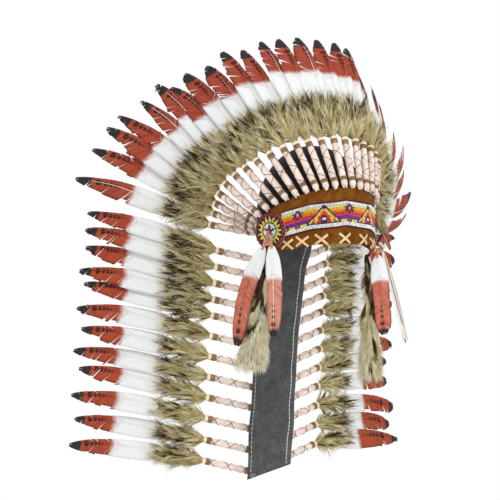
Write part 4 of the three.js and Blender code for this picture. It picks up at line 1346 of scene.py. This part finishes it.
def drop_fur(side, hairs):
    row = [r for r in STRANDS if r[0] == side and r[1] == "fur"][0]
    at, length, n = strand_frame(row[2], row[3], row[5], row[6])
    r = np.random.default_rng(5100 + len(side))
    bag = Bag()
    prof = np.array(FUR_STRIP[side], float)
    rings = []
    for q in np.linspace(0, 0.95, 22):
        c, d, w, nn = (v[0] for v in at(q * length))
        kw, kd = np.interp(q, prof[:, 0], prof[:, 1]), np.interp(q, prof[:, 0], prof[:, 2])
        rings.append(section_ring(c, w, nn, kw * 0.50, kd * 0.50, 12))
    loft(bag, rings)
    bag.uv[-1][:] = (0.1, 0.22)
    k = hairs
    q = 0.93 * r.random(k) ** 0.85
    t = 2 * np.pi * r.random(k)
    c, d, w, nn = at(q * length)
    kw, kd = np.interp(q, prof[:, 0], prof[:, 1]), np.interp(q, prof[:, 0], prof[:, 2])
    root = c + w * (np.cos(t) * kw * 0.24)[:, None] + nn * (np.sin(t) * kd * 0.22)[:, None]
    outv = w * np.cos(t)[:, None] + nn * np.sin(t)[:, None]
    cells = (13, 11)
    lock = (np.floor(t / (2 * np.pi) * cells[0]) + cells[0] * np.floor(q * cells[1])).astype(int)
    count = cells[0] * cells[1]
    lean = r.normal(size=(count, 3)) * 0.12
    # one side of the strip is darker
    t_mid = 2 * np.pi * (np.arange(count) % cells[0] + 0.5) / cells[0]
    q_mid = (np.arange(count) // cells[0] + 0.5) / cells[1]
    if side == "right":
        dark = np.clip(0.15 + 0.75 * np.cos(t_mid - 2.2), 0.03, 1) * np.interp(q_mid, [0, 0.45, 0.62, 1], [0.95, 0.75, 0.12, 0.04])
    else:
        dark = np.clip(0.55 + 0.5 * np.cos(t_mid - 0.6), 0.05, 1) * np.interp(q_mid, [0, 0.30, 0.5, 1], [1.1, 0.65, 0.12, 0.05])
    tone = lock_tones(r, count, dark)
    bright = (0.34 if side == "right" else 0.18) * (q_mid > 0.3)
    tone = np.where(tone > 0.3, tone + bright, tone)
    reach = np.sqrt((np.cos(t) * kw * 0.26) ** 2 + (np.sin(t) * kd * 0.26) ** 2)
    length_h = (17 + 13 * r.random(k)) * np.interp(q, [0, 0.15, 0.5, 1], [0.55, 0.8, 1.0, 1.0])
    # hairs end at the strip's lower edge
    room = np.maximum(6.0, (1.045 - q) * length)
    length_h = np.minimum(length_h, room)
    spread = np.clip(1.25 * reach / np.maximum(length_h, 1), 0.1, 0.8) * (0.6 + 0.8 * r.random(k))
    way = unit(d + outv * spread[:, None] + lean[lock] + r.normal(size=(k, 3)) * 0.05)
    bend = -outv * (0.10 + 0.18 * r.random(k))[:, None] + np.array([0, 0, -0.10]) + lean[lock]
    tint = np.clip(tone[lock] + 0.10 * r.normal(size=k), 0, 1)
    strands(bag, root, way, bend, length_h, 0.34 + 0.26 * r.random(k), tint)
    # dark hide at the top
    s = np.linspace(-4, 14, 8)
    c, d, w, nn = at(s)
    tube(bag, c, [1.6, 2.6, 3.4, 4.0, 4.2, 4.2, 3.8, 3.0], sides=9, mat=1)
    if side == "left":
        # a tuft of the same fur tied in front of the rosette's upper part
        k = 500
        top, low = seen_at(376.5, 214.5, -14), seen_at(384.5, 232, -15)
        q = r.random(k)
        t = 2 * np.pi * r.random(k)
        d = unit(low - top)
        w = unit(np.cross(d, np.array([0.47, 0.88, 0.0])))
        nn = np.cross(d, w)
        fat = np.interp(q, [0, 0.3, 0.75, 1], [3, 6.5, 6.5, 3])
        root = top + (low - top) * (q * 0.72)[:, None] + w * (np.cos(t) * fat * 0.75)[:, None] + nn * (np.sin(t) * fat * 0.5)[:, None]
        out = w * np.cos(t)[:, None] + nn * np.sin(t)[:, None]
        way = unit(d + out * (0.15 + 0.25 * r.random(k))[:, None] + r.normal(size=(k, 3)) * 0.08)
        strands(bag, root, way, -out * 0.2, 9 + 8 * r.random(k), 0.34 + 0.22 * r.random(k), np.clip(0.36 + 0.17 * r.normal(size=k), 0, 1))
        rings = []
        for qq, f in ((0, 2.0), (0.2, 5.0), (0.6, 5.6), (0.85, 4.0), (1.0, 1.5)):
            rings.append(section_ring(top + (low - top) * qq, w, nn, f * 2.2, f * 1.5, 10))
        loft(bag, rings)
        bag.uv[-1][:] = (0.1, 0.3)
        # it is tied on by a strip of the hide that runs down behind the wrap
        tube(bag, [top + (low - top) * 0.9, seen_at(379, 240, -4), seen_at(371, 252, 4), at(2.0)[0][0]], [2.0, 1.8, 2.0, 2.2], sides=8, mat=1)
    ob = bag.make("drop_fur_%s_strip" % side, [M_FUR, M_DARK])
    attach(ob, "root")
    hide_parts("drop_fur_" + side)
    return ob


for side in ("right", "left"):
    drop_fur(side, 6000)

# =====================================================================
# camera, light and floor
# =====================================================================
YAW = math.radians(28)
right_way = Vector((math.cos(YAW), -math.sin(YAW), 0))
look = Vector((math.sin(YAW), math.cos(YAW), 0))
PER_PX = 1.6 * MM
FAR = 8.0
target = right_way * ((250 - 314.5) * PER_PX) + Vector((0, 0, (255 - 250) * PER_PX))
cam_data = bpy.data.cameras.new("camera")
cam_data.sensor_width = 36
cam_data.lens = 36 * FAR / (500 * PER_PX)
cam_data.clip_end = 60
cam = bpy.data.objects.new("camera", cam_data)
bpy.context.scene.collection.objects.link(cam)
cam.location = target - look * FAR
cam.rotation_mode = "QUATERNION"
cam.rotation_quaternion = look.to_track_quat("-Z", "Y")
bpy.context.scene.camera = cam


def area(name, at, aim, size, power, colour=(1, 1, 1)):
    data = bpy.data.lights.new(name, "AREA")
    data.shape = "DISK"
    data.size = size
    data.energy = power
    data.color = colour
    ob = bpy.data.objects.new(name, data)
    ob.location = at
    ob.rotation_mode = "QUATERNION"
    ob.rotation_quaternion = (Vector(aim) - Vector(at)).to_track_quat("-Z", "Y")
    bpy.context.scene.collection.objects.link(ob)


area("key_light", (-1.6, -2.4, 1.9), (0, 0, 0), 1.4, 42)
area("fill_light", (1.9, -2.0, 0.9), (0, 0, 0), 1.8, 20)
area("back_light", (0.6, 2.4, 1.8), (0, 0, 0), 1.6, 26)

world = bpy.data.worlds.new("studio")
bpy.context.scene.world = world
world.use_nodes = True
wt = world.node_tree
bg = wt.nodes["Background"]
bg.inputs[0].default_value = (1, 1, 1, 1)
bg.inputs[1].default_value = 0.72
seen = wt.nodes.new("ShaderNodeBackground")
seen.inputs[0].default_value = (1, 1, 1, 1)
seen.inputs[1].default_value = 1.0
ray = wt.nodes.new("ShaderNodeLightPath")
pick = wt.nodes.new("ShaderNodeMixShader")
wt.links.new(ray.outputs["Is Camera Ray"], pick.inputs[0])
wt.links.new(bg.outputs[0], pick.inputs[1])
wt.links.new(seen.outputs[0], pick.inputs[2])
wt.links.new(pick.outputs[0], wt.nodes["World Output"].inputs[0])
bpy.context.scene.view_settings.view_transform = "Standard"

floor_mat = Mat("pale_floor", (0.86, 0.86, 0.85, 1), 0.9, 0.1)
floor_mat.colour(floor_mat.ramp(floor_mat.noise(floor_mat.coords(), 3.0), [(0.3, (0.84, 0.84, 0.83, 1)), (0.7, (0.88, 0.88, 0.87, 1))]))
bag = Bag()
loft(bag, [[(3000 * math.cos(a), 3000 * math.sin(a), z) for a in np.linspace(0, 2 * math.pi, 65)[:-1]] for z in (-780, -750)])
floor = bag.make("floor", [floor_mat.m])
